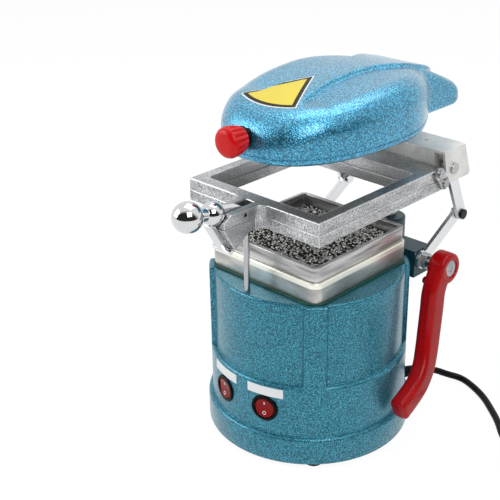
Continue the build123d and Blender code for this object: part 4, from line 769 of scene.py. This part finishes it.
def shot(dark):
    """Each ball is an octahedron split once and pushed out to a sphere, so it has 32 faces.

    About a third of the balls, drawn at random, are dark with oxide; dark chooses which group is made.
    """
    base = np.array([(1, 0, 0), (-1, 0, 0), (0, 1, 0), (0, -1, 0), (0, 0, 1), (0, 0, -1)], float)
    faces = [(0, 2, 4), (2, 1, 4), (1, 3, 4), (3, 0, 4), (2, 0, 5), (1, 2, 5), (3, 1, 5), (0, 3, 5)]
    spots, small, known = list(base), [], {}

    def between(a, b):
        """The number of the point half way between two points, made once."""
        key = (min(a, b), max(a, b))
        if key not in known:
            known[key] = len(spots)
            spots.append((spots[a] + spots[b]) / np.linalg.norm(spots[a] + spots[b]))
        return known[key]

    for a, b, c in faces:
        ab, bc, ca = between(a, b), between(b, c), between(c, a)
        small += [(a, ab, ca), (b, bc, ab), (c, ca, bc), (ab, bc, ca)]
    ball, small = np.array(spots), np.array(small)
    places = shot_places()
    rng = np.random.default_rng(11)
    radius = rng.uniform(*SHOT_RADII, len(places))
    chosen = (rng.uniform(0, 1, len(places)) < DARK_SHARE) == dark
    places, radius = places[chosen], radius[chosen]
    points = places[:, None] + ball[None] * radius[:, None, None]
    # No ball reaches into the tray's walls.
    points[..., :2] = np.clip(points[..., :2], -53.8, 53.8)
    numbers = small[None] + (np.arange(len(places)) * len(ball))[:, None, None]
    return points.reshape(-1, 3), numbers.reshape(-1, 3)


def shot_floor():
    """The near-black bed between the balls, painted shade in their gaps: a slab from the tray's floor up to
    the bed's falling plane.
    """
    outline = rounded_square(53.9, 53.9, 3, 64)
    rows = [np.column_stack([outline, np.full(len(outline), 169.5)])]
    rows += [np.column_stack([outline * scale, heap_height(outline[:, 1] * scale)])
             for scale in (1.0, 0.5, 0.0)]
    return np.stack(rows)


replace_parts(piece("shot_heap", [skin(shot_floor(), cap_first=True)], "tray", shot_gap_shade, 60),
            "shot_bed")
piece("steel_shot", [shot(False)], "tray", worn_shot, 180)
piece("oxidised_shot", [shot(True)], "tray", oxide_shot, 180)


# ------------------------------------------------------------------ power cord
def cord_line():
    """The cord's control points: along the table, four turns inwards, three outwards on top, to the plug.

    A turn's points are centre + r (cos a, sin a), 24 degrees apart, with r changing evenly along them.
    """
    centre_x, centre_y, first = 216, 92, 222
    route = [(47.6, 102.1, 18.0), (54.8, 117.4, 14.0), (62.5, 129.0, 6.5), (75.0, 137.5, 3.3),
             (92.5, 131.5, 3.3), (109.0, 123.0, 3.3), (125.0, 110.5, 3.3), (140.0, 98.0, 3.3),
             (156.0, 80.0, 3.3)]
    low = np.radians(first + np.arange(0, 360 * 4 - 100, 24))
    inward = 43.3 - 18.6 * np.arange(len(low)) / (len(low) - 1)
    high = np.radians(first + 360 * 4 - 70 + np.arange(0, 360 * 3 + 222, 24))
    outward = 27.0 + 14.5 * np.arange(len(high)) / (len(high) - 1)
    bottom = np.column_stack([centre_x + inward * np.cos(low), centre_y + inward * np.sin(low),
                              np.full(len(low), 3.3)])
    top = np.column_stack([centre_x + outward * np.cos(high), centre_y + outward * np.sin(high),
                           np.full(len(high), 8.6)])
    last = [(261.0, 112.0, 8.6), (259.0, 133.0, 9.5), (248.0, 150.0, 11.5), (236.0, 151.4, 12.0),
            (226.0, 151.4, 12.0)]
    return np.concatenate([np.array(route), bottom, top, np.array(last)])


def cord():
    """The cord as one smooth spline, 6.2 mm thick."""
    spots = cord_line() * MM
    curve = bpy.data.curves.new("mains_cord", "CURVE")
    curve.dimensions = "3D"
    curve.bevel_depth = 3.1 * MM
    curve.bevel_resolution = 5
    curve.resolution_u = 8
    curve.use_fill_caps = True
    line = curve.splines.new("NURBS")
    line.points.add(len(spots) - 1)
    line.points.foreach_set("co", np.column_stack([spots, np.ones(len(spots))]).ravel())
    line.order_u = 3
    line.use_endpoint_u = True
    curve.materials.append(cord_rubber)
    result = bpy.data.objects.new("mains_cord", curve)
    bpy.context.scene.collection.objects.link(result)
    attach(result, "base")
    return result


mains_cord = cord()
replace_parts(mains_cord, "power_cord", "cord_coil")


# ------------------------------------------------------------------ studio
def camera():
    """A fixed camera at the height and angle of a table-top product shot.

    Its focal length is 1052.845 pixels of a frame 500 pixels wide.
    """
    turn, tilt, roll = math.radians(44.7576), math.radians(25.2594), math.radians(-0.983)
    back = Vector((math.sin(turn) * math.cos(tilt), -math.cos(turn) * math.cos(tilt), math.sin(tilt)))
    right = Vector((math.cos(turn), math.sin(turn), 0))
    up = back.cross(right)
    right, up = (right * math.cos(roll) + up * math.sin(roll),
                 up * math.cos(roll) - right * math.sin(roll))
    lens = bpy.data.cameras.new("shot_camera")
    lens.sensor_width = 36
    lens.lens = 1052.845 * 36 / 500
    lens.clip_start = 0.01
    result = bpy.data.objects.new("shot_camera", lens)
    bpy.context.scene.collection.objects.link(result)
    place = Matrix((right, up, back)).transposed().to_4x4()
    place.translation = Vector((0.5364, -0.6129, 0.5472))
    result.matrix_world = place
    bpy.context.scene.camera = result


def softbox(name, spot, aim, size, power):
    """A rectangular area lamp at spot, turned to face aim, in metres and watts."""
    lamp = bpy.data.lights.new(name, "AREA")
    lamp.shape = "RECTANGLE"
    lamp.size, lamp.size_y = size
    lamp.energy = power
    result = bpy.data.objects.new(name, lamp)
    bpy.context.scene.collection.objects.link(result)
    result.location = spot
    result.rotation_euler = (Vector(aim) - Vector(spot)).to_track_quat("-Z", "Y").to_euler()


def room_light():
    """The light of an even grey room.

    Rays from the camera and through glass meet white.  Rays off polished metal meet white behind and above,
    and fade to near black low in front, so a mirror has something to show.  All others meet the grey room.
    """
    world = bpy.data.worlds.new("studio_world")
    bpy.context.scene.world = world
    world.use_nodes = True
    tree = world.node_tree
    tree.nodes.clear()
    path = add(tree, "ShaderNodeLightPath")
    seen = add(tree, "ShaderNodeMath",
               {0: path.outputs["Is Camera Ray"], 1: path.outputs["Is Transmission Ray"]},
               operation="MAXIMUM")
    toward = add(tree, "ShaderNodeTexCoord").outputs["Generated"]
    low_in_front = (0.55, -0.70, -0.35)
    front = add(tree, "ShaderNodeVectorMath", {0: toward, 1: low_in_front}, operation="DOT_PRODUCT")
    fade = add(tree, "ShaderNodeMapRange",
               {"Value": front.outputs["Value"], "From Min": -0.05, "From Max": 0.25,
                "To Min": 1.0, "To Max": 0.03})
    mirror = add(tree, "ShaderNodeBackground", {"Color": grey(1.0), "Strength": fade.outputs["Result"]})
    room = add(tree, "ShaderNodeBackground", {"Color": grey(0.60), "Strength": 0.62})
    white = add(tree, "ShaderNodeBackground", {"Color": grey(1.0), "Strength": 1.0})
    gloss = add(tree, "ShaderNodeMixShader",
                {0: path.outputs["Is Glossy Ray"], 1: room.outputs[0], 2: mirror.outputs[0]})
    both = add(tree, "ShaderNodeMixShader", {0: seen.outputs[0], 1: gloss.outputs[0], 2: white.outputs[0]})
    add(tree, "ShaderNodeOutputWorld", {"Surface": both.outputs[0]})


def paper_floor():
    """A white paper sweep that keeps the shadow, and glows white to camera, mirror and glass rays."""
    mesh = bpy.data.meshes.new("studio_floor")
    reach = 3.0
    mesh.from_pydata([(-reach, -reach, 0), (reach, -reach, 0), (reach, reach, 0), (-reach, reach, 0)], [],
                     [(0, 1, 2, 3)])
    floor = bpy.data.objects.new("studio_floor", mesh)
    bpy.context.scene.collection.objects.link(floor)
    paint = bpy.data.materials.new("white_paper_sweep")
    paint.use_nodes = True
    tree = paint.node_tree
    tree.nodes.clear()
    path = add(tree, "ShaderNodeLightPath")
    paper = add(tree, "ShaderNodeBsdfDiffuse", {"Color": grey(0.90)})
    glow = add(tree, "ShaderNodeEmission", {"Color": grey(1.0), "Strength": 1.06})
    mirrored = add(tree, "ShaderNodeMath",
                   {0: path.outputs["Is Glossy Ray"], 1: path.outputs["Is Transmission Ray"]},
                   operation="MAXIMUM")
    met = add(tree, "ShaderNodeMath", {0: path.outputs["Is Camera Ray"], 1: mirrored.outputs[0]},
              operation="MAXIMUM")
    share = add(tree, "ShaderNodeMath", {0: met.outputs[0], 1: 0.88}, operation="MULTIPLY")
    mixed = add(tree, "ShaderNodeMixShader", {0: share.outputs[0], 1: paper.outputs[0], 2: glow.outputs[0]})
    add(tree, "ShaderNodeOutputMaterial", {"Surface": mixed.outputs[0]})
    mesh.materials.append(paint)


camera()
room_light()
paper_floor()
softbox("key_softbox", (0.9, -0.5, 1.1), (0, 0, 0.15), (0.7, 0.7), 8)
softbox("left_softbox", (-0.9, -0.9, 0.7), (0, 0, 0.15), (0.8, 0.9), 8)
softbox("top_softbox", (-0.1, 0.3, 1.3), (0, 0, 0.2), (0.9, 0.9), 6)
bpy.context.scene.view_settings.view_transform = "Standard"
